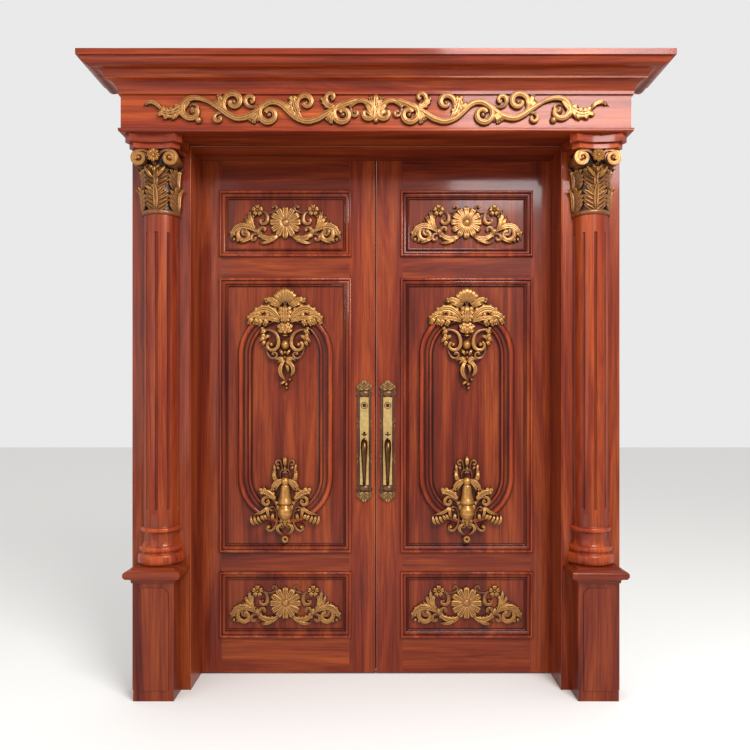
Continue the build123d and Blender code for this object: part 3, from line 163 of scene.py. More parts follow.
LOWER = {
    "turned": [[
        (.25, .012), (.24, .036), (.212, .05), (.18, .042), (.165, .034), (.155, .046), (.12, .052),
        (.07, .058), (.02, .066), (-.015, .078), (-.035, .084), (-.05, .078), (-.06, .055), (-.075, .06),
        (-.11, .082), (-.16, .088), (-.2, .072), (-.235, .04), (-.26, .03),
    ]],
    "scrolls": [
        ((.034, .336), (.039, .424), (.078, .41), .032, .75, -1, .022),
        ((.056, .238), (.067, .325), (.017, .314), .02, .7, 1, .018),
        ((.089, -.101), (.121, .052), (.209, -.025), .048, .9, -1, .038),
        ((.099, -.145), (.121, -.079), (.154, -.112), .024, .7, -1, .02),
        ((.099, -.134), (.067, -.309), (.181, -.309), .05, .35, 1, .028),
        ((.01, -.27), (.06, -.27), (.036, -.303), .024, .8, -1, .016),
    ],
    "leaves": [
        ((.121, .292), (.11, .358), (.132, .413), .024), ((.094, .199), (.138, .26), (.116, .336), .04),
        ((.11, .249), (.135, .255), (.152, .273), .022), ((.06, .34), (.085, .36), (.098, .385), .02),
        ((.017, .221), (.154, .205), (.143, .063), .046), ((.023, .205), (.099, .183), (.11, .074), .034),
        ((.11, -.003), (.176, .107), (.313, .09), .066), ((.252, .095), (.28, .11), (.3, .141), .032),
        ((.209, .095), (.235, .115), (.247, .149), .032), ((.242, .085), (.265, .075), (.276, .053), .032),
        ((.198, .075), (.222, .065), (.233, .042), .03), ((.384, -.189), (.389, -.27), (.324, -.295), .03),
        ((.345, -.189), (.351, -.254), (.285, -.291), .03),
        ((.307, -.183), (.307, -.232), (.252, -.278), .03),
        ((.269, -.172), (.263, -.21), (.22, -.251), .03),
        ((.209, -.079), (.209, -.145), (.384, -.18), .036),
        ((.192, -.085), (.209, -.156), (.167, -.227), .034),
        ((.007, -.27), (.165, -.309), (.007, -.418), .034), ((.02, -.2), (.05, -.24), (.055, -.29), .03),
        ((.06, -.05), (.09, -.09), (.08, -.15), .028), ((.012, -.1), (.06, -.1), (.05, -.17), .034),
        ((.012, -.15), (.05, -.16), (.035, -.215), .034), ((.235, -.165), (.23, -.2), (.19, -.24), .03),
        ((.1, .0), (.13, .02), (.125, .06), .034), ((.075, -.02), (.1, -.05), (.13, -.05), .03),
        ((.13, -.16), (.15, -.2), (.13, -.25), .034),
    ],
    "singles": [((0, .375), (0, .44), (0, .498), .04), ((0, -.2), (0, -.26), (0, -.33), .034)],
    "bosses": [(.036, -.085, .026, .026), (.187, -.311, .033, .033), (0, .35, .02, .03)],
    "rings": [((0, -.454), 12, .045, .02)],
}
FINIAL = {
    "scrolls": [
        ((6, -2), (30, -4), (23, 12), 9, .9, 1, 6), ((4, 4), (18, 16), (13, 26), 6, .8, 1, 4.5),
        ((24, -4), (36, -10), (29, -16), 5, .7, -1, 4),
    ],
    "leaves": [
        ((3, 8), (12, 22), (9, 38), 7), ((8, 4), (22, 18), (20, 32), 7), ((14, 0), (32, 8), (32, 20), 6),
    ],
    "singles": [((0, 0), (0, 20), (0, 44), 12)],
    "bosses": [(0, 6, 6, 6), (29, -16, 3, 3)],
}

# Half widths of a leaf from root to tip, as shares
POINTED = (.45, .8, .98, 1, .88, .6, .06)
BLUNT = (.42, .55, .7, .85, 1, .96, .45)

# Sections across a stroke, as shares of its half width. The walls run down into the ground behind it, and
# the round section runs clockwise so that its faces point outwards.
BAND_SECTION = [
    (-1, -4), (-1, .0), (-.88, .3), (-.66, .5), (-.42, .46), (-.2, .56), (0, .62), (.2, .56), (.42, .46),
    (.66, .5), (.88, .3), (1, 0), (1, -4),
]
LEAF_SECTION = [
    (-1, -4), (-1, -.05), (-.78, .26), (-.5, .34), (-.2, .1), (0, .46), (.2, .1), (.5, .34), (.78, .26),
    (1, -.05), (1, -4),
]
ROUND_SECTION = [(math.cos(i * math.pi / 8), -math.sin(i * math.pi / 8)) for i in range(16)]
BAND_CREST = max(up for across, up in BAND_SECTION)
LEAF_CREST = max(up for across, up in LEAF_SECTION)

# Sections of the turned and moulded work, as shares of reach and rise
MOULD_SECTION = [
    (0, .38), (0, .66), (.03, .84), (.09, .97), (.17, 1), (.24, .94), (.28, .8), (.29, .62), (.31, .5),
    (.35, .52), (.42, .58), (.5, .56), (.58, .48), (.66, .38), (.71, .28), (.73, .18), (.76, .2),
    (.79, .34), (.84, .42), (.89, .36), (.92, .2), (.94, .1), (1, .06), (1, 0),
]
CAPSULE_SECTION = [
    (0, 0), (0, .3), (.03, .34), (.07, .3), (.08, .42), (.11, .68), (.16, .9), (.23, 1), (.3, .94),
    (.36, .78), (.4, .56), (.42, .36), (.46, .3), (.54, .34), (.62, .34), (.69, .28), (.71, .36),
    (.75, .52), (.8, .56), (.85, .48), (.88, .3), (.9, .16), (.95, .12), (1, .1), (1, 0),
]
BASE_SECTION = [
    (.9, 0), (.96, .02), (.99, .06), (1, .12), (1, .18), (.98, .24), (.94, .28), (.88, .29), (.86, .31),
    (.87, .34), (.91, .36), (.935, .4), (.93, .45), (.89, .48), (.84, .49), (.82, .51), (.79, .55),
    (.76, .61), (.745, .68), (.75, .76), (.78, .82), (.82, .855), (.87, .87), (.885, .9), (.885, .94),
    (.86, .965), (.8, .975), (.775, .985), (.76, 1),
]
BELL_SECTION = [(.98, 0), (.96, .2), (.97, .4), (1.02, .6), (1.1, .8), (1.24, 1)]

# Strokes of the carvings: how they swell, thin, close in and lift, as shares
EDGE_LIFT = 1.1
SWEEP_STEPS = 4
SPIRAL_STEPS = 10
SPIRAL_CLOSE = .58
SHOULDER = .4
ROOT_WIDTH = .55
ROOT_SWELL = 1.1
EYE_THINNING = .62
SCROLL_CLIMB = .35
LEAF_SWELL = .4
LEAF_PHASE = .15
LOBE_PLACES = (.2, .4, .6, .78)
LOBE_AHEAD = .05
LOBE_LEAN = math.radians(46)
LOBE_BEND = .3
LOBE_MIDDLE = .6
LOBE_WIDTH = .42
LOBE_THINNING = .35
PETAL_PLACES = (.15, .6, 1)
EYE_SHARE = .36
EYE_RISE = .7
BEAD_RISE = .8
TURNED_RISE = .35

# Leaves broader than this get side lobes, and none is as broad as a metre
BROAD_LEAF = 15 * MM
NO_LOBES = 1

# The relief attribute, which the materials turn into painted shade in recesses and creases and painted
# highlight on ridges: its start, and its gain from the bend of the surface and from the height
RELIEF_START = .3
RELIEF_BEND = .75
RELIEF_HEIGHT = .36
CARTOUCHE_GROUND = .6
MOULD_RELIEF = 21 * MM
CAPITAL_RELIEF = 26 * MM
ORNAMENT_RELIEF = 8 * MM
GRIP_RELIEF = 50 * MM

# Edges that turn by more than these angles are sharp
MOULD_CREASE = .7
CARVED_CREASE = .9

# Near-black pile seal in the gap between the leaves, painted shade that keeps the gap dark
SEAL_CLEARANCE = .4 * MM
SEAL_DEPTH = 6 * MM
SEAL_INSET = 7 * MM

# Steps round each half round of a capsule
CAPSULE_TURNS = 32

# Shaft of a column: degrees between its grid lines, and lines across a flute as shares of its half angle
SHAFT_STEP = 5
SHAFT_GROUND = 40 * MM
FLUTE_LINES = (-1.1, -1, -.93, -.75, -.45, 0, .45, .75, .93, 1, 1.1)
FLUTE_CLEAR = 1.3
FLUTE_EDGE = 2 * MM
FLUTE_STEPS = 6

# Acanthus leaf: a blade, lobes of (foot, reach, width) and a rib
BLADE_SHARES = (.7, .86, .9, .92, .9, .82, .66, .42, .06)
BLADE_STEPS = len(BLADE_SHARES) - 1
BLADE_LENGTH = .97
BLADE_LIFT = 3 * MM
BLADE_CROWN = 2 * MM
ACANTHUS_LOBES = ((-.06, .95, .16), (.1, 1.05, .17), (.27, 1.1, .17), (.44, .95, .16), (.6, .6, .13))
ACANTHUS_RISE = 9 * MM
RIB = ((0, 0), (0, .5), (0, 1), .17)
RIB_RISE = 13 * MM
RIB_LIFT = 4 * MM
CURL_START = .6
LEAF_CURL = 24 * MM
LEAF_FLARE = 10 * MM
LEAF_BACK = 2 * MM
TIP_DROP = .12

# Capital: the ring, the tiers of leaves, the volutes and the flower
RING_INSET = 4 * MM
RING_STEPS = 10
BELL_COLUMNS = 48
BELL_GROUND = 4 * MM
UPPER_TIER = .82
TIER_STEP = 2 * MM
LEAF_ANGLES = [math.radians(angle) for angle in (-78, 0, 78)]
VOLUTE_REACH = 96 * MM
VOLUTE_RISE = 22 * MM
VOLUTE_LIFT = 6 * MM
VOLUTE_SINK = 18 * MM
VOLUTE_GROUND = 16 * MM
BOLSTER_SHARE = .86
BOLSTER_STOP = 8 * MM
FLOWER = {"scrolls": [], "rings": [((0, 0), 8, 1, .5)], "bosses": [(0, 0, .36, .36)]}
FLOWER_RADIUS = 26 * MM
FLOWER_RISE = 14 * MM
FLOWER_LIFT = 6 * MM
FLOWER_SINK = 2 * MM
FLOWER_UP = 6 * MM

# Handle set. The collar runs two points past its start, so that it closes. The grip has rows of its way
# down and out as shares, and its radius in millimetres.
FINIAL_HEIGHT = 41 * MM
FINIAL_RISE = 7 * MM
FINIAL_LIFT = 1 * MM
PLATE_THICK = 5 * MM
RIM_PLACE = 24.2 * MM
RIM_LIFT = .6 * MM
RIM_RADII = [radius * MM for radius in (4.6, 5.7, 5.7, 5.7, 5.7, 5.7, 4.6)]
STUD_PLACE = 25 * MM
STUD_HEIGHT = 77 * MM
STUD_GAP = 3 * MM
STUD_RADIUS = 5.5 * MM
STUD_RISE = 6 * MM
COVER = (60 * MM, 32 * MM, 2.4 * MM)
COLLAR_RADIUS = 13 * MM
COLLAR_THICK = 2.6 * MM
COLLAR_LIFT = 4 * MM
COLLAR_STEPS = 16
KEYWAY = (1.8 * MM, .6 * MM, 9 * MM)
# Near-black colour of the keyway, painted shade in the slot
KEYWAY_SHADE = (.03, .02, .015)
GRIP_HEAD = 9 * MM
GRIP_FOOT = 5 * MM
GRIP_FRONT = 12 * MM
GRIP = [
    (0, -.05, 9), (.01, .32, 11), (.06, .66, 14), (.17, .9, 14.5), (.36, .97, 12), (.58, .93, 9.5),
    (.78, .76, 7.6), (.91, .5, 6.6), (.98, .22, 7), (1, -.05, 8),
]

# Stage: size and place of each light, the point they aim at, and the floor
LIGHTS = {"key": (1.6, (1.3, -2.7, 3.6)), "fill": (3.0, (-2.8, -3.4, 2.0))}
LIGHT_AIM = (0, .1, 1.2)
FLOOR_SIZE = 14
FLOOR_COLOUR = (.8, .79, .77, 1)


class DoorFinish(PropertyGroup):
    """Colours of the woods and metals."""

    wood_dark: FloatVectorProperty(
        name="Dark grain", description="Darkest mahogany grain", subtype="COLOR", size=3,
        default=(.066, .007, .0035), min=0, max=1)
    wood_mid: FloatVectorProperty(
        name="Middle grain", description="Main mahogany tone", subtype="COLOR", size=3,
        default=(.168, .0205, .006), min=0, max=1)
    wood_bright: FloatVectorProperty(
        name="Bright grain", description="Lightest mahogany grain", subtype="COLOR", size=3,
        default=(.33, .064, .0125), min=0, max=1)
    # Painted shade: the colour of the carvings' recesses and creases, set by the relief attribute
    gilt_recess_shade: FloatVectorProperty(
        name="Gilt recess", description="Stained wood in the carving's recesses", subtype="COLOR", size=3,
        default=(.02, .0045, .002), min=0, max=1)
    gilt_mid: FloatVectorProperty(
        name="Gilt body", description="Gilding on the carving's slopes", subtype="COLOR", size=3,
        default=(.15, .043, .0095), min=0, max=1)
    # Painted highlight: the colour of the carvings' ridges, set by the relief attribute
    gilt_ridge_highlight: FloatVectorProperty(
        name="Gilt highlight", description="Gilding on the carving's ridges", subtype="COLOR", size=3,
        default=(.66, .34, .08), min=0, max=1)
    brass: FloatVectorProperty(
        name="Brass", description="Polished brass", subtype="COLOR", size=3, default=(.86, .58, .22), min=0,
        max=1)
    bronze: FloatVectorProperty(
        name="Dark brass", description="Dark brass of the grips", subtype="COLOR", size=3,
        default=(.13, .055, .022), min=0, max=1)
    steel: FloatVectorProperty(
        name="Steel", description="Satin steel", subtype="COLOR", size=3, default=(.5, .5, .5), min=0,
        max=1)
    gloss: FloatProperty(
        name="Lacquer", description="Weight of the clear lacquer", default=.24, min=0, max=1,
        subtype="FACTOR")


class DoorCarving(PropertyGroup):
    """Relief of the carvings."""

    frieze_rise: FloatProperty(
        name="Frieze relief", description="Height of the frieze carving", default=17 * MM, unit="LENGTH")
    panel_rise: FloatProperty(
        name="Panel relief", description="Height of the panel carvings", default=19 * MM, unit="LENGTH")
    cartouche_rise: FloatProperty(
        name="Cartouche relief", description="Height of the cartouches", default=34 * MM, unit="LENGTH")
    cartouche_lift: FloatProperty(
        name="Cartouche lift", description="Ground of the cartouches above the panel", default=13 * MM,
        unit="LENGTH")
    smoothness: IntProperty(
        name="Stroke steps", description="Steps between two points of a stroke", default=3, min=1, max=8)


class DoorColumn(PropertyGroup):
    """Sizes of the columns and capitals."""

    flutes: IntProperty(name="Flutes", description="Flutes on the half column", default=5, min=1)
    flute_angle: FloatProperty(
        name="Flute spacing", description="Angle between two flutes", default=math.radians(38),
        subtype="ANGLE")
    flute_radius: FloatProperty(
        name="Flute radius", description="Half the width of a flute", default=6 * MM, unit="LENGTH")
    flute_margin: FloatProperty(
        name="Flute margin", description="Plain shaft above and below the flutes", default=67 * MM,
        unit="LENGTH")
    shaft_radius: FloatProperty(
        name="Shaft radius", description="Radius of the shaft", default=70 * MM, unit="LENGTH")
    torus_radius: FloatProperty(
        name="Torus radius", description="Radius of the lowest roll", default=92 * MM, unit="LENGTH")
    base_height: FloatProperty(
        name="Base height", description="Height of the base", default=152 * MM, unit="LENGTH")
    bell_radius: FloatProperty(
        name="Bell radius", description="Radius of the capital's bell", default=64 * MM, unit="LENGTH")
    tier_height: FloatProperty(
        name="Leaf height", description="Height of one tier of leaves", default=102 * MM, unit="LENGTH")
    leaf_width: FloatProperty(
        name="Leaf width", description="Width of one leaf", default=88 * MM, unit="LENGTH")
    ring_height: FloatProperty(
        name="Ring height", description="Height of the ring below the leaves", default=22 * MM,
        unit="LENGTH")
    volute_radius: FloatProperty(
        name="Volute radius", description="Radius of a volute", default=34 * MM, unit="LENGTH")
    volute_spread: FloatProperty(
        name="Volute spread", description="From the middle to a volute's eye", default=60 * MM,
        unit="LENGTH")


class DoorLeaf(PropertyGroup):
    """Places of the panels on a leaf."""

    panel_low: FloatProperty(
        name="Panel inner side", description="Panel side by the meeting stile", default=.1145,
        unit="LENGTH")
    panel_high: FloatProperty(
        name="Panel outer side", description="Panel side by the hinge stile", default=.662, unit="LENGTH")
    foot: FloatProperty(
        name="Bottom panel", description="Foot of the bottom panel", default=.166, unit="LENGTH")
    small: FloatProperty(
        name="Small panel height", description="Height of a small panel", default=.264, unit="LENGTH")
    middle: FloatProperty(
        name="Middle panel", description="Foot of the middle panel", default=.531, unit="LENGTH")
    top: FloatProperty(
        name="Middle panel head", description="Head of the middle panel", default=1.688, unit="LENGTH")
    head: FloatProperty(
        name="Top panel head", description="Head of the top panel", default=2.062, unit="LENGTH")
    lap: FloatProperty(
        name="Lap", description="How far a moulding laps the frame", default=10 * MM, unit="LENGTH")
    mould: FloatProperty(
        name="Moulding", description="Width of a panel moulding", default=38 * MM, unit="LENGTH")
    band: FloatProperty(
        name="Capsule band", description="Width of the capsule moulding", default=70 * MM, unit="LENGTH")


class DoorStage(PropertyGroup):
    """Camera and light."""

    distance: FloatProperty(
        name="Camera distance", description="From the leaves to the camera", default=2.9, unit="LENGTH")
    eye_height: FloatProperty(
        name="Eye height", description="Height of the camera", default=1.175, unit="LENGTH")
    lens: FloatProperty(name="Lens", description="Focal length in millimetres", default=32.45)
    shift_x: FloatProperty(
        name="Camera shift across", description="Shift of the picture to the side", default=-.0013)
    shift_y: FloatProperty(
        name="Camera shift up", description="Shift of the picture upwards", default=.0333)
    key: FloatProperty(name="Key light", description="Power of the key light", default=170, unit="POWER")
    fill: FloatProperty(name="Fill light", description="Power of the fill light", default=45, unit="POWER")
    ambient: FloatProperty(name="Surrounding light", description="Strength of the even light", default=.82)


def add_node(material, kind, **values):
    """A shader node with some of its sockets or settings set."""
    node = material.node_tree.nodes.new(kind)
    for key, value in values.items():
        if key in node.inputs:
            node.inputs[key].default_value = value
        else:
            setattr(node, key, value)
    return node


def link(start, end):
    """Join two sockets."""
    end.id_data.links.new(start, end)


def new_material(name):
    """An empty material with a surface shader, and that shader."""
    material = bpy.data.materials.new(name)
    material.use_nodes = True
    return material, material.node_tree.nodes["Principled BSDF"]


def colour_ramp(material, stops):
    """A colour ramp from (place, colour) stops."""
    ramp = add_node(material, "ShaderNodeValToRGB")
    elements = ramp.color_ramp.elements
    while len(elements) < len(stops):
        elements.new(.5)
    for element, (place, colour) in zip(elements, stops):
        element.position = place
        element.color = (*colour, 1)
    return ramp


def multiply(material, first, second, weight):
    """The product of two colours."""
    mix = add_node(material, "ShaderNodeMix", data_type="RGBA", blend_type="MULTIPLY")
    mix.inputs[0].default_value = weight
    link(first, mix.inputs[6])
    link(second, mix.inputs[7])
    return mix.outputs[2]


def mahogany(name, grain, tone, shade_in_grooves):
    """Lacquered mahogany with its grain along one axis, and for moulded work painted shade in the grooves
    and painted highlight on the ridges, from the relief attribute.
    """
    finish = bpy.context.scene.door_finish
    material, shader = new_material(name)
    shade = [tuple(min(1, channel * tone) for channel in colour)
             for colour in (finish.wood_dark, finish.wood_mid, finish.wood_bright)]
    place = add_node(material, "ShaderNodeTexCoord")
    flow = [8.0, 8.0, 8.0]
    flow["XYZ".index(grain)] = .6
    fibre = [170.0, 170.0, 170.0]
    fibre["XYZ".index(grain)] = 4.0
    flow_map = add_node(material, "ShaderNodeMapping", Scale=flow)
    fibre_map = add_node(material, "ShaderNodeMapping", Scale=fibre)
    figure = add_node(material, "ShaderNodeTexNoise", Scale=1.5, Detail=7.0, Roughness=.64, Distortion=.9)
    pores = add_node(material, "ShaderNodeTexNoise", Scale=1.0, Detail=3.0, Roughness=.5)
    ramp = colour_ramp(material, [(.27, shade[0]), (.47, shade[1]), (.72, shade[2])])
    lines = colour_ramp(material, [(.38, (.5, .46, .44)), (.56, (1, 1, 1))])
    bump = add_node(material, "ShaderNodeBump", Strength=.05, Distance=.001)
    link(place.outputs["Object"], flow_map.inputs["Vector"])
    link(place.outputs["Object"], fibre_map.inputs["Vector"])
    link(flow_map.outputs["Vector"], figure.inputs["Vector"])
    link(fibre_map.outputs["Vector"], pores.inputs["Vector"])
    link(figure.outputs["Fac"], ramp.inputs["Fac"])
    link(pores.outputs["Fac"], lines.inputs["Fac"])
    colour = multiply(material, ramp.outputs["Color"], lines.outputs["Color"], .6)
    # Painted shade darkens the grooves and painted highlight lightens the ridges of moulded and fluted work
    if shade_in_grooves:
        relief = add_node(material, "ShaderNodeAttribute", attribute_name="relief")
        groove_shading = colour_ramp(material, [(.3, (.13, .07, .07)), (.5, (.8, .8, .8)), (.72, (1.3, 1.3, 1.25))])
        link(relief.outputs["Fac"], groove_shading.inputs["Fac"])
        colour = multiply(material, colour, groove_shading.outputs["Color"], 1)
    link(colour, shader.inputs["Base Color"])
    link(pores.outputs["Fac"], bump.inputs["Height"])
    link(bump.outputs["Normal"], shader.inputs["Normal"])
    shader.inputs["Roughness"].default_value = .36
    shader.inputs["Specular IOR Level"].default_value = .12
    shader.inputs["Coat Weight"].default_value = finish.gloss
    shader.inputs["Coat Roughness"].default_value = .1
    return material


def gilding(name, tone):
    """Gilding with painted highlight on the ridges and painted shade in the recesses, taken from the relief
    attribute, and worn in patches by noise.
    """
    finish = bpy.context.scene.door_finish
    material, shader = new_material(name)
    relief = add_node(material, "ShaderNodeAttribute", attribute_name="relief")
    place = add_node(material, "ShaderNodeTexCoord")
    wear = add_node(material, "ShaderNodeTexNoise", Scale=95.0, Detail=4.0, Roughness=.6)
    sway = add_node(material, "ShaderNodeMath", operation="MULTIPLY_ADD")
    sway.inputs[1].default_value = .3
    sway.inputs[2].default_value = -.15
    total = add_node(material, "ShaderNodeMath", operation="ADD")
    shade = [tuple(channel * tone for channel in colour)
             for colour in (finish.gilt_recess_shade, finish.gilt_mid, finish.gilt_ridge_highlight)]
    # Painted shade at low relief, gilt body in between and painted highlight at high relief
    ramp = colour_ramp(material, list(zip((.32, .56, .98), shade)))
    sheen = add_node(material, "ShaderNodeMapRange")
    sheen.inputs["From Min"].default_value = .3
    sheen.inputs["From Max"].default_value = .8
    sheen.inputs["To Max"].default_value = .55
    bump = add_node(material, "ShaderNodeBump", Strength=.2, Distance=.001)
    link(place.outputs["Object"], wear.inputs["Vector"])
    link(wear.outputs["Fac"], sway.inputs[0])
    link(sway.outputs[0], total.inputs[0])
    link(relief.outputs["Fac"], total.inputs[1])
    link(total.outputs[0], ramp.inputs["Fac"])
    link(total.outputs[0], sheen.inputs["Value"])
    link(ramp.outputs["Color"], shader.inputs["Base Color"])
    link(sheen.outputs["Result"], shader.inputs["Metallic"])
    link(wear.outputs["Fac"], bump.inputs["Height"])
    link(bump.outputs["Normal"], shader.inputs["Normal"])
    shader.inputs["Roughness"].default_value = .33
    return material


def cast_metal(name, colour, roughness):
    """A cast metal with faint clouding."""
    material, shader = new_material(name)
    place = add_node(material, "ShaderNodeTexCoord")
    cloud = add_node(material, "ShaderNodeTexNoise", Scale=60.0, Detail=4.0)
    ramp = colour_ramp(material, [(.3, tuple(channel * .72 for channel in colour)), (.7, tuple(colour))])
    link(place.outputs["Object"], cloud.inputs["Vector"])
    link(cloud.outputs["Fac"], ramp.inputs["Fac"])
    link(ramp.outputs["Color"], shader.inputs["Base Color"])
    shader.inputs["Metallic"].default_value = 1
    shader.inputs["Roughness"].default_value = roughness
    return material


def finish_named(name, make, *values):
    """A material by name, made the first time that it is asked for."""
    return bpy.data.materials.get(name) or make(name, *values)


def gilt_finish():
    """The gilding that the carvings share."""
    return finish_named("gilding", gilding, 1.0)


def dress_node(node, material):
    """Give a CAD node one material."""
    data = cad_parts[node].data
    data.materials.clear()
    data.materials.append(material)


def add_piece(name, mesh, material, body, slot, *replaced):
    """A finished piece that rides on a body and stands for CAD nodes."""
    piece = bpy.data.objects.new(name, mesh)
    bpy.context.scene.collection.objects.link(piece)
    mesh.materials.clear()
    mesh.materials.append(material)
    mesh.polygons.foreach_set("use_smooth", [True] * len(mesh.polygons))
    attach(piece, body)
    if replaced:
        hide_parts(*replaced)
    return piece


def section_object(name, section, closed):
    """A curve to draw along strokes."""
    data = bpy.data.curves.new(name, "CURVE")
    spline = data.splines.new("POLY")
    spline.points.add(len(section) - 1)
    spline.use_cyclic_u = closed
    for point, (across, up) in zip(spline.points, section):
        point.co = (across, up, 0, 1)
    thing = bpy.data.objects.new(name, data)
    bpy.context.scene.collection.objects.link(thing)
    return thing


def drop_curve(thing):
    """Take away a drawing aid."""
    data = thing.data
    bpy.data.objects.remove(thing)
    bpy.data.curves.remove(data)


def draw_strokes(bm, strokes, section, closed=False):
    """Draw strokes of (points, radii) with one section, and add them to a bmesh."""
    guide = section_object("section", section, closed)
    data = bpy.data.curves.new("strokes", "CURVE")
    data.dimensions = "3D"
    data.twist_mode = "Z_UP"
    data.resolution_u = bpy.context.scene.door_carving.smoothness
    data.bevel_mode = "OBJECT"
    data.bevel_object = guide
    for points, radii in strokes:
        spline = data.splines.new("BEZIER")
        spline.bezier_points.add(len(points) - 1)
        for knot, point, radius in zip(spline.bezier_points, points, radii):
            knot.co = point
            knot.radius = radius
            knot.handle_left_type = "AUTO"
            knot.handle_right_type = "AUTO"
    thing = bpy.data.objects.new("strokes", data)
    bpy.context.scene.collection.objects.link(thing)
    bpy.context.view_layer.update()
    mesh = bpy.data.meshes.new_from_object(thing.evaluated_get(bpy.context.evaluated_depsgraph_get()))
    bm.from_mesh(mesh)
    bpy.data.meshes.remove(mesh)
    drop_curve(thing)
    drop_curve(guide)


def pour(bm, other):
    """Move one bmesh's shapes into another."""
    mesh = bpy.data.meshes.new("poured")
    other.to_mesh(mesh)
    other.free()
    bm.from_mesh(mesh)
    bpy.data.meshes.remove(mesh)


def along_bend(root, bend, tip, share):
    """A point on the curve from a root to a tip, bent towards a point."""
    rest = 1 - share
    return tuple(rest * rest * a + 2 * share * rest * b + share * share * c for a, b,
                 c in zip(root, bend, tip))


def band_share(share):
    """Half width along a scroll as a share: it swells up to a shoulder and thins out after it."""
    if share < SHOULDER:
        return ROOT_WIDTH + ROOT_SWELL * share
    return 1 - EYE_THINNING * (share - SHOULDER)


def scroll_stroke(scroll, unit, rise, base, side):
    """A scroll as points and radii, bent from its root into a spiral that lifts round its eye."""
    root, bend, eye, radius, turns, hand, width = scroll
    away = math.atan2(bend[1] - eye[1], bend[0] - eye[0])
    start = away + hand * math.acos(min(1, radius / max(1e-6, math.dist(bend, eye))))
    meet = polar(eye, radius, start)
    spine = [along_bend(root, bend, meet, i / SWEEP_STEPS) for i in range(SWEEP_STEPS)]
    count = max(5, round(turns * SPIRAL_STEPS))
    for i in range(count + 1):
        angle = start + hand * 2 * math.pi * turns * i / count
        reach = radius * (1 - SPIRAL_CLOSE * i / count)
        spine.append(polar(eye, reach, angle))
    points = []
    radii = []
    for i, (x, z) in enumerate(spine):
        share = i / (len(spine) - 1)
        half = width * unit / 2 * band_share(share)
        lift = min(EDGE_LIFT * half + SCROLL_CLIMB * rise * share, rise - BAND_CREST * half)
        points.append((side * x * unit, z * unit, base + lift))
        radii.append(half)
    return points, radii


def leaf_stroke(leaf, unit, rise, base, side, shares=POINTED):
    """A leaf as points and radii, with its half widths as shares from root to tip."""
    root, bend, tip, width = leaf
    points = []
    radii = []
    for i, share in enumerate(shares):
        along = i / (len(shares) - 1)
        x, z = along_bend(root, bend, tip, along)
        half = share * width * unit / 2
        swell = math.sin(math.pi * (LEAF_PHASE + (1 - LEAF_PHASE) * along))
        lift = min(EDGE_LIFT * half + LEAF_SWELL * rise * swell, rise - LEAF_CREST * half)
        points.append((side * x * unit, z * unit, base + lift))
        radii.append(half)
    return points, radii


def stem_stroke(stem, unit, rise, base, side):
    """A plain band through points."""
    points, width = stem
    half = width * unit / 2
    lift = base + min(EDGE_LIFT * half, rise - BAND_CREST * half)
    line = [(side * x * unit, z * unit, lift) for x, z in points]
    return line, [half * (.5 if i in (0, len(points) - 1) else 1) for i in range(len(points))]


def polar(centre, reach, angle):
    """A point at a distance and an angle from a centre."""
    return centre[0] + reach * math.cos(angle), centre[1] + reach * math.sin(angle)


def lobes(leaf):
    """Side lobes along a broad leaf."""
    root, bend, tip, width = leaf
    found = []
    for along in LOBE_PLACES:
        foot = along_bend(root, bend, tip, along)
        near = along_bend(root, bend, tip, along + LOBE_AHEAD)
        heading = math.atan2(near[1] - foot[1], near[0] - foot[0])
        reach = width * (1 - LOBE_THINNING * along)
        for side in (-1, 1):
            lean = heading + side * LOBE_LEAN
            bent = polar(foot, reach * LOBE_MIDDLE, lean + side * LOBE_BEND)
            found.append((foot, bent, polar(foot, reach, lean), width * LOBE_WIDTH))
    return found


def petals(centre, count, radius, width):
    """A ring of petals as leaves."""
    ring = []
    for i in range(count):
        angle = math.pi / 2 + 2 * math.pi * i / count
        ring.append((*[polar(centre, radius * share, angle) for share in PETAL_PLACES], width))
    return ring


def mirrored(x):
    """The sides on which a form at this distance from the middle is drawn."""
    return (-1, 1) if x else (1,)


def add_boss(bm, x, z, half_width, half_height, base, rise):
    """A domed boss."""
    dome = bmesh.new()
    place = Matrix.Translation((x, z, 0)) @ Matrix.Diagonal((half_width, half_height, base + rise, 1))
    bmesh.ops.create_uvsphere(dome, u_segments=20, v_segments=12, radius=1, matrix=place)
    pour(bm, dome)


def add_block(bm, place, size):
    """A plain block round a place."""
    bmesh.ops.create_cube(bm, size=1, matrix=Matrix.Translation(place) @ Matrix.Diagonal((*size, 1)))


def cut_away(bm, place, normal, **cleared):
    """Cut off everything on the inner or the outer side of the plane through a place."""
    everything = bm.verts[:] + bm.edges[:] + bm.faces[:]
    bmesh.ops.bisect_plane(bm, geom=everything, plane_co=place, plane_no=normal, **cleared)


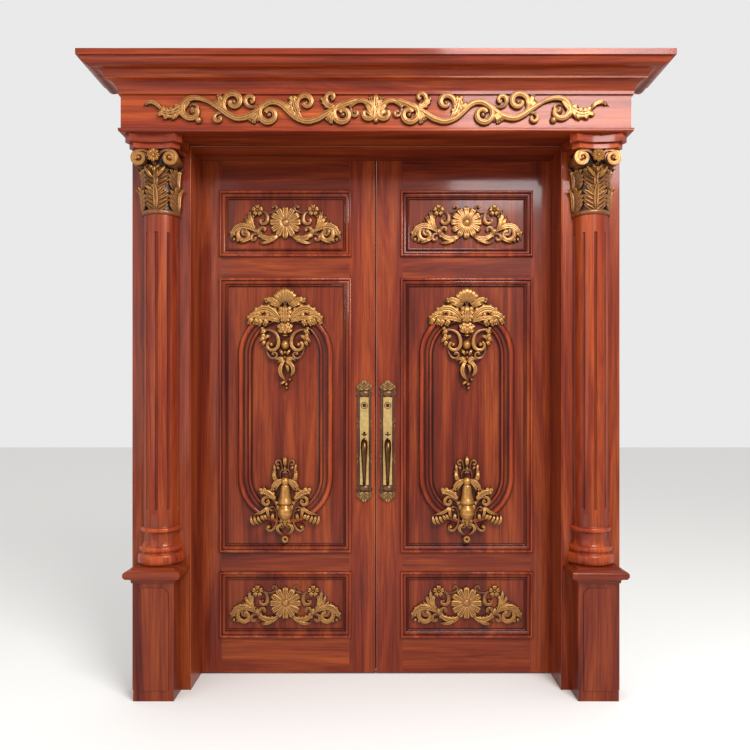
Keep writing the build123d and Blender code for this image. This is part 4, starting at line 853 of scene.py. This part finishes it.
def carve(design, unit, rise, base=0.0, broad=BROAD_LEAF):
    """A carving on its own drawing plane, X across, Y up and Z out of the ground."""
    bm = bmesh.new()
    leaves = list(design.get("leaves", []))
    blunt = [(petal, petal[2][0]) for petal in design.get("petals", [])]
    for ring in design.get("rings", []):
        blunt += [(petal, ring[0][0]) for petal in petals(*ring)]
    weight = design.get("weight", 1)
    stems = [(points, width * weight) for points, width in design.get("stems", [])]
    scrolls = [(*scroll[:-1], scroll[-1] * weight) for scroll in design["scrolls"]]
    leaves += [lobe for leaf in leaves if leaf[3] * unit > broad for lobe in lobes(leaf)]
    bands = [stem_stroke(stem, unit, rise, base, side) for stem in stems for side in (-1, 1)]
    bands += [scroll_stroke(scroll, unit, rise, base, side) for scroll in scrolls for side in (-1, 1)]
    blades = [leaf_stroke(leaf, unit, rise, base, side) for leaf in leaves for side in (-1, 1)]
    blades += [leaf_stroke(leaf, unit, rise, base, 1) for leaf in design.get("singles", [])]
    for petal, off_middle in blunt:
        blades += [leaf_stroke(petal, unit, rise, base, side, BLUNT) for side in mirrored(off_middle)]
    draw_strokes(bm, bands, BAND_SECTION)
    draw_strokes(bm, blades, LEAF_SECTION)
    for rows in design.get("turned", []):
        line = [(0, z * unit, base + rise * TURNED_RISE) for z, half in rows]
        draw_strokes(bm, [(line, [half * unit for z, half in rows])], ROUND_SECTION, True)
    domes = [(*scroll[2], scroll[3] * EYE_SHARE, scroll[3] * EYE_SHARE, EYE_RISE)
             for scroll in design["scrolls"]]
    domes += [(*boss, 1) for boss in design.get("bosses", [])]
    for x, z, half_width, half_height, share in domes:
        for side in mirrored(x):
            add_boss(bm, side * x * unit, z * unit, half_width * unit, half_height * unit, base,
                     rise * share)
    for x, z, radius in design.get("beads", []):
        add_boss(bm, x * unit, z * unit, radius * unit, radius * unit, base, rise * BEAD_RISE)
    cut_away(bm, (0, 0, 0), (0, 0, 1), clear_inner=True)
    return bm


def stand_up(bm, x, y, z):
    """Turn a drawing so that it faces the front, and move its origin to a point."""
    turn = Matrix(((1, 0, 0, x), (0, 0, -1, y), (0, 1, 0, z), (0, 0, 0, 1)))
    bmesh.ops.transform(bm, matrix=turn, verts=bm.verts[:])


def plain_mesh(name, bm):
    """A mesh from a bmesh that isn't needed any more."""
    mesh = bpy.data.meshes.new(name)
    bm.normal_update()
    bm.to_mesh(mesh)
    bm.free()
    return mesh


def finished_mesh(name, bm, height, rise):
    """A mesh that remembers its ridges and recesses, from how far each point stands out of its ground, as a
    relief attribute for painted shade and painted highlight.
    """
    mesh = plain_mesh(name, bm)
    count = len(mesh.vertices)
    flat = np.empty(count * 3)
    mesh.vertices.foreach_get("co", flat)
    points = flat.reshape(-1, 3)
    out = height(points)
    ends = np.empty(len(mesh.edges) * 2, dtype=np.int32)
    mesh.edges.foreach_get("vertices", ends)
    first, second = ends.reshape(-1, 2).T
    spans = np.linalg.norm(points[first] - points[second], axis=1)
    tilt = np.zeros(count)
    number = np.zeros(count)
    slope = (out[first] - out[second]) / np.maximum(spans, 1e-5)
    np.add.at(tilt, first, slope)
    np.add.at(tilt, second, -slope)
    np.add.at(number, first, 1)
    np.add.at(number, second, 1)
    bend = tilt / np.maximum(number, 1)
    # High points and outward bends get a high relief value for painted highlight, recesses and creases a
    # low one for painted shade
    values = np.clip(RELIEF_START + RELIEF_BEND * bend + RELIEF_HEIGHT * np.clip(out / rise, 0, 1), 0, 1)
    relief = mesh.attributes.new("relief", "FLOAT", "POINT")
    relief.data.foreach_set("value", values)
    return mesh


def mapped_grid(columns, rows, place):
    """A grid of faces whose corners lie where place(column, row) says."""
    bm = bmesh.new()
    bmesh.ops.create_grid(bm, x_segments=columns, y_segments=rows, size=1)
    for vertex in bm.verts:
        vertex.co = place(round((vertex.co.x + 1) / 2 * columns), round((vertex.co.y + 1) / 2 * rows))
    bmesh.ops.remove_doubles(bm, verts=bm.verts[:], dist=1e-6)
    bmesh.ops.recalc_face_normals(bm, faces=bm.faces[:])
    return bm


def mitred_frame(x0, x1, z0, z1, y, width, rise, forward):
    """A moulding round a rectangle, mitred at its corners."""
    corners = [(x0, z0, 1, 1), (x1, z0, -1, 1), (x1, z1, -1, -1), (x0, z1, 1, -1), (x0, z0, 1, 1)]

    def place(column, row):
        across, up = MOULD_SECTION[row]
        x, z, in_x, in_z = corners[column]
        return x + in_x * across * width, y - forward * up * rise, z + in_z * across * width

    return mapped_grid(4, len(MOULD_SECTION) - 1, place)


def capsule_ring(x, z, y, half, straight, width, rise):
    """A moulding round a capsule: a half round, a straight side, a half round and a straight side."""
    last = 2 * CAPSULE_TURNS + 2

    def place(column, row):
        across, up = CAPSULE_SECTION[row]
        upper = column <= CAPSULE_TURNS or column == last
        angle = math.pi * (column if upper else column - 1) / CAPSULE_TURNS
        if column == last:
            angle = 0
        reach = half - across * width
        middle = z + straight if upper else z - straight
        return x + reach * math.cos(angle), y - up * rise, middle + reach * math.sin(angle)

    return mapped_grid(last, len(CAPSULE_SECTION) - 1, place)


def half_turned(x, y, rows, columns):
    """A half round surface from (radius, height) rows."""
    def place(column, row):
        angle = math.pi * (column / columns - .5)
        radius, z = rows[row]
        return x + radius * math.sin(angle), y - radius * math.cos(angle), z

    return mapped_grid(columns, len(rows) - 1, place)


class DOOR_OT_joinery(Operator):
    """Lay mahogany along the grain of every board, and metal on the ironmongery"""

    bl_idname = "door.joinery"
    bl_label = "Joinery finishes"

    def execute(self, context):
        finish = context.scene.door_finish
        # Lit and shaded copies of the mahogany: rails, head, soffit and pedestals are darkened as painted
        # shade, cornice, frieze and abacus lightened as painted light
        upright = finish_named("mahogany_upright", mahogany, "Z", 1.0, False)
        level = finish_named("mahogany_level", mahogany, "X", .9, False)
        panel = finish_named("mahogany_panel", mahogany, "Z", .88, False)
        turned = finish_named("mahogany_turned", mahogany, "Z", .85, False)
        crown = finish_named("mahogany_crown", mahogany, "X", 1.25, False)
        brass = finish_named("brass_polished", cast_metal, finish.brass, .24)
        bronze = finish_named("brass_dark", cast_metal, finish.bronze, .3)
        steel = finish_named("steel_satin", cast_metal, finish.steel, .4)
        finishes = [
            (("grip", "lever", "plug"), bronze),
            (("handle_plate", "pull", "hinge_plates", "pins"), brass),
            (("lock", "bolt", "strike"), steel),
            (("cornice", "frieze", "abacus"), crown),
            (("rails", "head", "soffit", "pedestal_cap"), level),
            (("mould",), upright),
            (("panel",), panel),
            (("column", "pedestal"), turned),
        ]
        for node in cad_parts:
            fitting = [material for words, material in finishes if any(word in node for word in words)]
            dress_node(node, fitting[0] if fitting else upright)
        return {"FINISHED"}


class DOOR_OT_mouldings(Operator):
    """Run the mouldings round the panels and the capsules"""

    bl_idname = "door.mouldings"
    bl_label = "Mouldings"

    def execute(self, context):
        leaf = context.scene.door_leaf
        # Moulding mahogany with painted shade in its grooves and painted highlight on its ridges
        shade_in_grooves = finish_named("mahogany_moulded", mahogany, "Z", 1.0, True)
        spans = [(leaf.foot, leaf.foot + leaf.small), (leaf.middle, leaf.top),
                 (leaf.head - leaf.small, leaf.head)]
        for side, hand in SIDES.items():
            x0, x1 = sorted((hand * leaf.panel_low, hand * leaf.panel_high))
            low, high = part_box(side + "_panel_mouldings")
            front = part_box(side + "_small_panels")[0].y
            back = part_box(side + "_small_panels")[1].y
            both = bmesh.new()
            for forward, seat, rise in ((1, front, front - low.y), (-1, back, high.y - back)):
                for z0, z1 in spans:
                    pour(both, mitred_frame(x0 - leaf.lap, x1 + leaf.lap, z0 - leaf.lap, z1 + leaf.lap,
                                            seat, leaf.mould, rise, forward))
            middle = (low.y + high.y) / 2
            ground = (back - front) / 2
            mesh = finished_mesh(side + "_mouldings", both,
                                 lambda points: np.abs(points[:, 1] - middle) - ground, MOULD_RELIEF)
            mesh.set_sharp_from_angle(angle=MOULD_CREASE)
            add_piece(side + "_mouldings", mesh, shade_in_grooves, side + "_leaf", "mahogany",
                      side + "_panel_mouldings")
            low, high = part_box(side + "_capsule_moulding")
            half = (high.x - low.x) / 2
            rise = high.y - low.y
            bm = capsule_ring((low.x + high.x) / 2, (low.z + high.z) / 2, high.y, half,
                              (high.z - low.z) / 2 - half, leaf.band, rise)
            mesh = finished_mesh(side + "_capsule", bm, lambda points: high.y - points[:, 1], rise)
            mesh.set_sharp_from_angle(angle=MOULD_CREASE)
            add_piece(side + "_capsule", mesh, shade_in_grooves, side + "_leaf", "mahogany",
                      side + "_capsule_moulding")
        return {"FINISHED"}


class DOOR_OT_seal(Operator):
    """Set a near-black pile seal into the gap between the leaves, on the left leaf's edge, as painted shade
    in the gap
    """

    bl_idname = "door.seal"
    bl_label = "Meeting seal"

    def execute(self, context):
        low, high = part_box("left_meeting_stile")
        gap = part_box("right_meeting_stile")[0].x - high.x
        size = (gap - SEAL_CLEARANCE, SEAL_DEPTH, high.z - low.z)
        bm = bmesh.new()
        add_block(bm, (high.x + size[0] / 2, high.y - SEAL_INSET, (high.z + low.z) / 2), size)
        mesh = plain_mesh("meeting_seal", bm)
        material, shader = new_material("pile_dark")
        place = add_node(material, "ShaderNodeTexCoord")
        hairs = add_node(material, "ShaderNodeTexNoise", Scale=900.0, Detail=2.0)
        # Painted shade: the pile is near black so that the gap between the leaves reads as shade
        ramp = colour_ramp(material, [(.35, (.01, .006, .005)), (.65, (.04, .022, .016))])
        link(place.outputs["Object"], hairs.inputs["Vector"])
        link(hairs.outputs["Fac"], ramp.inputs["Fac"])
        link(ramp.outputs["Color"], shader.inputs["Base Color"])
        shader.inputs["Roughness"].default_value = .95
        add_piece("meeting_seal", mesh, material, "left_leaf", "mahogany")
        return {"FINISHED"}


class DOOR_OT_frieze(Operator):
    """Carve the running scroll of the frieze"""

    bl_idname = "door.frieze"
    bl_label = "Frieze carving"

    def execute(self, context):
        rise = context.scene.door_carving.frieze_rise
        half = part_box("frieze_carving")[1].x
        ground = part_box("frieze_boards")[0].y
        middle = (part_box("frieze_bead")[1].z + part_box("cornice")[0].z) / 2
        bm = carve(FRIEZE, half, rise)
        stand_up(bm, 0, ground, middle)
        mesh = finished_mesh("frieze_scroll", bm, lambda points: ground - points[:, 1], rise)
        add_piece("frieze_scroll", mesh, gilt_finish(), "surround", "gilt", "frieze_carving")
        return {"FINISHED"}


class DOOR_OT_panel_carvings(Operator):
    """Carve the daisies and leaf scrolls of the small panels"""

    bl_idname = "door.panel_carvings"
    bl_label = "Panel carvings"

    def execute(self, context):
        rise = context.scene.door_carving.panel_rise
        leaf = context.scene.door_leaf
        for side in SIDES:
            low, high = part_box(side + "_panel_carvings")
            ground = high.y
            both = bmesh.new()
            for z in (leaf.foot + leaf.small / 2, leaf.head - leaf.small / 2):
                bm = carve(PANEL, high.x - low.x, rise)
                stand_up(bm, (low.x + high.x) / 2, ground, z)
                pour(both, bm)
            name = side + "_daisy_carvings"
            mesh = finished_mesh(name, both, lambda points: ground - points[:, 1], rise)
            add_piece(name, mesh, gilt_finish(), side + "_leaf", "gilt", side + "_panel_carvings")
        return {"FINISHED"}


class DOOR_OT_cartouches(Operator):
    """Carve the shell drops and the bell cartouches of the middle panels"""

    bl_idname = "door.cartouches"
    bl_label = "Cartouches"

    def execute(self, context):
        carving = context.scene.door_carving
        lift = carving.cartouche_lift
        rise = carving.cartouche_rise - lift
        for side in SIDES:
            for place, design in (("upper", UPPER), ("lower", LOWER)):
                node = side + "_" + place + "_cartouche"
                low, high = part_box(node)
                ground = high.y
                bm = carve(design, high.z - low.z, rise, lift)
                stand_up(bm, (low.x + high.x) / 2, ground, (low.z + high.z) / 2)
                sunk = lift * CARTOUCHE_GROUND
                mesh = finished_mesh(node, bm, lambda points: ground - points[:, 1] - sunk, rise)
                add_piece(side + "_" + place + "_relief", mesh, gilt_finish(), side + "_leaf", "gilt", node)
        return {"FINISHED"}


class DOOR_OT_columns(Operator):
    """Turn and flute the half columns"""

    bl_idname = "door.columns"
    bl_label = "Columns"

    def execute(self, context):
        sizes = context.scene.door_column
        # The shafts are lightened as painted light, with painted shade in the flutes
        wood = finish_named("mahogany_fluted", mahogany, "Z", 1.2, True)
        half = math.asin(sizes.flute_radius / sizes.shaft_radius)
        middles = [sizes.flute_angle * (i - (sizes.flutes - 1) / 2) for i in range(sizes.flutes)]
        steps = [math.radians(step) for step in range(-90, 91, SHAFT_STEP)]
        clear = half * FLUTE_CLEAR
        angles = {angle for angle in steps if all(abs(angle - middle) > clear for middle in middles)}
        for middle in middles:
            angles |= {middle + half * share for share in FLUTE_LINES}
        angles = sorted(angles)
        for side in SIDES:
            low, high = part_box(side + "_column")
            x = (low.x + high.x) / 2
            rows = [(r * sizes.torus_radius, low.z + z * sizes.base_height) for r, z in BASE_SECTION]
            foot = low.z + sizes.base_height + sizes.flute_margin
            head = high.z - sizes.flute_margin
            turns = [i * math.pi / 2 / FLUTE_STEPS for i in range(FLUTE_STEPS + 1)]
            ends = [sizes.flute_radius * (1 - math.cos(turn)) for turn in turns]
            heights = [foot + end for end in ends] + [head - end for end in reversed(ends)]
            heights = [foot - FLUTE_EDGE] + heights + [head + FLUTE_EDGE, high.z]
            rows += [(sizes.shaft_radius, z) for z in heights]

            def place(column, row):
                radius, z = rows[row]
                angle = angles[column]
                from_end = min(z - foot, head - z)
                if from_end > 0:
                    open_share = math.sqrt(1 - (1 - min(1, from_end / sizes.flute_radius)) ** 2)
                    off = min(abs(angle - middle) for middle in middles) / (half * open_share + 1e-9)
                    if off < 1:
                        radius -= sizes.flute_radius * open_share * math.sqrt(1 - off * off)
                return x + radius * math.sin(angle), high.y - radius * math.cos(angle), z

            bm = mapped_grid(len(angles) - 1, len(rows) - 1, place)

            def stands_out(points):
                return np.hypot(points[:, 0] - x, points[:, 1] - high.y) - SHAFT_GROUND

            mesh = finished_mesh(side + "_shaft", bm, stands_out, SHAFT_GROUND)
            mesh.set_sharp_from_angle(angle=CARVED_CREASE)
            add_piece(side + "_shaft", mesh, wood, "surround", "mahogany", side + "_column")
        return {"FINISHED"}


def leaf_drawing(width, height):
    """One acanthus leaf on its drawing plane: a blade, a rib and pairs of lobes."""
    span = width / height / 2

    def place(column, row):
        across = column / BLADE_STEPS - .5
        half = BLADE_SHARES[row] * span * height
        lift = BLADE_LIFT + BLADE_CROWN * math.cos(across * math.pi)
        return across * 2 * half, row / BLADE_STEPS * height * BLADE_LENGTH, lift

    bm = mapped_grid(BLADE_STEPS, BLADE_STEPS, place)
    strokes = []
    for side in (-1, 1):
        for foot, reach, share in ACANTHUS_LOBES:
            lobe = ((.01, foot), (span * .5, foot + .08), (reach * span, foot + .34), share)
            strokes.append(leaf_stroke(lobe, height, ACANTHUS_RISE, BLADE_LIFT, side))
    strokes.append(leaf_stroke(RIB, height, RIB_RISE, RIB_LIFT, 1))
    draw_strokes(bm, strokes, LEAF_SECTION)
    return bm


def wrap_leaf(drawing, x, y, z, radius, height, angle):
    """A leaf drawing laid round a bell, with its tip curled outwards."""
    bm = bmesh.new()
    bm.from_mesh(drawing)
    for vertex in bm.verts:
        across, up, out = vertex.co
        share = max(0, up / height - CURL_START) / (1 - CURL_START)
        reach = radius + max(out, -LEAF_BACK) + LEAF_CURL * share ** 2 + LEAF_FLARE * (up / height) ** 2
        turn = angle + across / radius
        drop = TIP_DROP * height * share ** 3
        vertex.co = (x + reach * math.sin(turn), y - reach * math.cos(turn), z + up - drop)
    return bm


def volute_pair(spread):
    """Two volutes and the leaves between them, in shares of a volute's radius."""
    return {
        "scrolls": [((.25, -.2), (spread * .5, 1.35), (spread, 0), .8, 1.3, -1, .52)],
        "bosses": [(spread, 0, .3, .3)],
        "leaves": [((.2, -2.2), (.9, -1.6), (1.25, -.75), .3), ((.1, -1.2), (.5, -1), (.7, -.6), .24)],
        "singles": [((0, -1.7), (0, -1.3), (0, -.8), .34)],
    }


def bell_rows(sizes, bell_z, top):
    """The ring below the leaves and the bell behind them, as (radius, height) rows."""
    roll = sizes.ring_height / 2
    middle = sizes.shaft_radius - RING_INSET
    turns = [i * math.pi / RING_STEPS for i in range(RING_STEPS + 1)]
    rows = [(middle + roll * math.sin(turn), bell_z - roll - roll * math.cos(turn)) for turn in turns]
    return rows + [(share * sizes.bell_radius, bell_z + up * (top - bell_z)) for share, up in BELL_SECTION]


class DOOR_OT_capitals(Operator):
    """Carve the capitals: a ring, two tiers of leaves, volutes and a flower"""

    bl_idname = "door.capitals"
    bl_label = "Capitals"

    def execute(self, context):
        sizes = context.scene.door_column
        drawing = plain_mesh("acanthus", leaf_drawing(sizes.leaf_width, sizes.tier_height))
        for side in SIDES:
            low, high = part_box(side + "_capital")
            x = (low.x + high.x) / 2
            y = high.y
            bell_z = low.z + sizes.ring_height
            bm = half_turned(x, y, bell_rows(sizes, bell_z, high.z), BELL_COLUMNS)
            upper = (bell_z + sizes.tier_height * UPPER_TIER, sizes.bell_radius - TIER_STEP)
            for tier_z, radius in (upper, (bell_z, sizes.bell_radius)):
                for angle in LEAF_ANGLES:
                    pour(bm, wrap_leaf(drawing, x, y, tier_z, radius, sizes.tier_height, angle))
            eye_z = high.z - sizes.volute_radius
            face = y - VOLUTE_REACH
            volutes = carve(volute_pair(sizes.volute_spread / sizes.volute_radius), sizes.volute_radius,
                            VOLUTE_RISE, VOLUTE_LIFT, NO_LOBES)
            stand_up(volutes, x, face + VOLUTE_SINK, eye_z)
            pour(bm, volutes)
            flower = carve(FLOWER, FLOWER_RADIUS, FLOWER_RISE, FLOWER_LIFT, NO_LOBES)
            stand_up(flower, x, face + FLOWER_SINK, eye_z + FLOWER_UP)
            pour(bm, flower)
            depth = y - face - BOLSTER_STOP
            thick = sizes.volute_radius * BOLSTER_SHARE
            for hand in (-1, 1):
                bolster = bmesh.new()
                place = Matrix.Translation((x + hand * sizes.volute_spread, y - depth / 2, eye_z))
                bmesh.ops.create_cone(bolster, cap_ends=True, segments=32, radius1=thick, radius2=thick,
                                      depth=depth, matrix=place @ Matrix.Rotation(math.pi / 2, 4, "X"))
                pour(bm, bolster)
            cut_away(bm, (0, y, 0), (0, -1, 0), clear_inner=True)
            cut_away(bm, (0, 0, high.z), (0, 0, 1), clear_outer=True)

            def stands_out(points):
                round_out = np.hypot(points[:, 0] - x, points[:, 1] - y) - sizes.bell_radius + BELL_GROUND
                flat_out = face + VOLUTE_GROUND - points[:, 1]
                among_volutes = points[:, 2] > eye_z - sizes.volute_radius
                return np.where(among_volutes, np.maximum(flat_out, round_out - LEAF_CURL), round_out)

            mesh = finished_mesh(side + "_acanthus", bm, stands_out, CAPITAL_RELIEF)
            mesh.set_sharp_from_angle(angle=CARVED_CREASE)
            add_piece(side + "_acanthus", mesh, gilt_finish(), "surround", "gilt", side + "_capital")
        bpy.data.meshes.remove(drawing)
        return {"FINISHED"}


def plate_ornament(half, key_height):
    """Finials, rims, studs and covers of a handle plate and its key's collar, on the drawing plane."""
    bm = bmesh.new()
    for up in (1, -1):
        finial = carve(FINIAL, MM, FINIAL_RISE, FINIAL_LIFT, NO_LOBES)
        bmesh.ops.scale(finial, vec=(1, up, 1), verts=finial.verts[:])
        if up < 0:
            bmesh.ops.reverse_faces(finial, faces=finial.faces[:])
        bmesh.ops.translate(finial, vec=(0, up * half, 0), verts=finial.verts[:])
        pour(bm, finial)
    near = STUD_HEIGHT - STUD_GAP
    far = STUD_HEIGHT + STUD_GAP
    steps = len(RIM_RADII) - 1
    rim = []
    for edge in (-1, 1):
        for z0, z1 in ((-half, -far), (-near, near), (far, half)):
            line = [(edge * RIM_PLACE, z0 + (z1 - z0) * i / steps, RIM_LIFT) for i in range(steps + 1)]
            rim.append((line, RIM_RADII))
    draw_strokes(bm, rim, BAND_SECTION)
    collar = []
    for i in range(COLLAR_STEPS + 2):
        turn = i * 2 * math.pi / COLLAR_STEPS
        height = key_height + COLLAR_RADIUS * math.cos(turn)
        collar.append((COLLAR_RADIUS * math.sin(turn), height, COLLAR_LIFT))
    draw_strokes(bm, [(collar, [COLLAR_THICK] * len(collar))], ROUND_SECTION, True)
    for edge in (-1, 1):
        for z in (-STUD_HEIGHT, STUD_HEIGHT):
            add_boss(bm, edge * STUD_PLACE, z, STUD_RADIUS, STUD_RADIUS, 0, STUD_RISE)
        add_block(bm, (0, edge * (half - COVER[1] / 2), 0), COVER)
    cut_away(bm, (0, 0, 0), (0, 0, 1), clear_inner=True)
    return bm


class DOOR_OT_furniture(Operator):
    """Cast the ornament of the handle plates and the grips, and set a near-black block as painted shade in
    each keyway
    """

    bl_idname = "door.furniture"
    bl_label = "Handle sets"

    def execute(self, context):
        finish = context.scene.door_finish
        gilt = finish_named("brass_antique", gilding, .55)
        bronze = finish_named("brass_dark", cast_metal, finish.bronze, .3)
        dark = finish_named("keyway_dark", cast_metal, KEYWAY_SHADE, .6)
        for side in SIDES:
            low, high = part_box(side + "_handle_plate")
            x = (low.x + high.x) / 2
            middle = (low.z + high.z) / 2
            plug_low, plug_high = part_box(side + "_key_plug")
            plug_z = (plug_low.z + plug_high.z) / 2
            # A near-black block in the key plug stands in for the shade in its keyway
            slit = bmesh.new()
            add_block(slit, ((plug_low.x + plug_high.x) / 2, plug_low.y, plug_z), KEYWAY)
            add_piece(side + "_keyway", plain_mesh(side + "_keyway", slit), dark, side + "_key", "brass")
            ground = high.y - PLATE_THICK
            bm = plate_ornament((high.z - low.z) / 2 - FINIAL_HEIGHT, plug_z - middle)
            stand_up(bm, x, ground, middle)
            name = side + "_handle_ornament"
            mesh = finished_mesh(name, bm, lambda points: ground - points[:, 1], ORNAMENT_RELIEF)
            add_piece(name, mesh, gilt, side + "_leaf", "brass")
            low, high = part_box(side + "_grip")
            top = high.z - GRIP_HEAD
            drop = top - low.z - GRIP_FOOT
            reach = high.y - low.y - GRIP_FRONT
            points = [(0, top - drop * down, out * reach) for down, out, radius in GRIP]
            bm = bmesh.new()
            draw_strokes(bm, [(points, [radius * MM for down, out, radius in GRIP])], ROUND_SECTION, True)
            stand_up(bm, x, high.y, 0)
            name = side + "_bowed_grip"
            mesh = finished_mesh(name, bm, lambda points: high.y - points[:, 1], GRIP_RELIEF)
            add_piece(name, mesh, bronze, side + "_leaf", "brass", side + "_grip")
        return {"FINISHED"}


class DOOR_OT_stage(Operator):
    """Set the floor, the soft light and the camera"""

    bl_idname = "door.stage"
    bl_label = "Stage"

    def execute(self, context):
        stage = context.scene.door_stage
        bm = bmesh.new()
        bmesh.ops.create_grid(bm, x_segments=1, y_segments=1, size=FLOOR_SIZE)
        mesh = plain_mesh("floor", bm)
        floor = bpy.data.objects.new("floor", mesh)
        context.scene.collection.objects.link(floor)
        material, shader = new_material("floor_pale")
        shader.inputs["Base Color"].default_value = FLOOR_COLOUR
        shader.inputs["Roughness"].default_value = .8
        mesh.materials.append(material)
        world = bpy.data.worlds.new("studio")
        world.use_nodes = True
        background = world.node_tree.nodes["Background"]
        background.inputs["Color"].default_value = (1, 1, 1, 1)
        background.inputs["Strength"].default_value = stage.ambient
        context.scene.world = world
        context.scene.view_settings.view_transform = "Standard"
        for name, (size, place) in LIGHTS.items():
            data = bpy.data.lights.new(name, "AREA")
            data.energy = getattr(stage, name)
            data.size = size
            lamp = bpy.data.objects.new(name, data)
            lamp.location = place
            aim = Vector(LIGHT_AIM) - Vector(place)
            lamp.rotation_euler = aim.to_track_quat("-Z", "Y").to_euler()
            context.scene.collection.objects.link(lamp)
        leaf_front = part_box("right_rails")[0].y
        data = bpy.data.cameras.new("camera")
        data.lens = stage.lens
        data.shift_x = stage.shift_x
        data.shift_y = stage.shift_y
        camera = bpy.data.objects.new("camera", data)
        camera.location = (0, leaf_front - stage.distance, stage.eye_height)
        camera.rotation_euler = (math.pi / 2, 0, 0)
        context.scene.collection.objects.link(camera)
        context.scene.camera = camera
        return {"FINISHED"}


class DOOR_PT_panel(Panel):
    """The steps that dress the door"""

    bl_idname = "DOOR_PT_panel"
    bl_label = "Carved door"
    bl_space_type = "VIEW_3D"
    bl_region_type = "UI"
    bl_category = "Door"

    def draw(self, context):
        for step in STEPS:
            self.layout.operator(step.bl_idname)


STEPS = [
    DOOR_OT_joinery, DOOR_OT_mouldings, DOOR_OT_seal, DOOR_OT_frieze, DOOR_OT_panel_carvings,
    DOOR_OT_cartouches, DOOR_OT_columns, DOOR_OT_capitals, DOOR_OT_furniture, DOOR_OT_stage,
]
GROUPS = {
    "door_finish": DoorFinish, "door_carving": DoorCarving, "door_column": DoorColumn,
    "door_leaf": DoorLeaf, "door_stage": DoorStage,
}


def register():
    for group in GROUPS.values():
        bpy.utils.register_class(group)
    for step in STEPS:
        bpy.utils.register_class(step)
    bpy.utils.register_class(DOOR_PT_panel)
    for name, group in GROUPS.items():
        setattr(bpy.types.Scene, name, PointerProperty(type=group))


def unregister():
    for name in GROUPS:
        delattr(bpy.types.Scene, name)
    bpy.utils.unregister_class(DOOR_PT_panel)
    for step in reversed(STEPS):
        bpy.utils.unregister_class(step)
    for group in reversed(GROUPS.values()):
        bpy.utils.unregister_class(group)


def main():
    register()
    bpy.ops.door.joinery()
    bpy.ops.door.mouldings()
    bpy.ops.door.seal()
    bpy.ops.door.frieze()
    bpy.ops.door.panel_carvings()
    bpy.ops.door.cartouches()
    bpy.ops.door.columns()
    bpy.ops.door.capitals()
    bpy.ops.door.furniture()
    bpy.ops.door.stage()


if __name__ == "__main__":
    main()
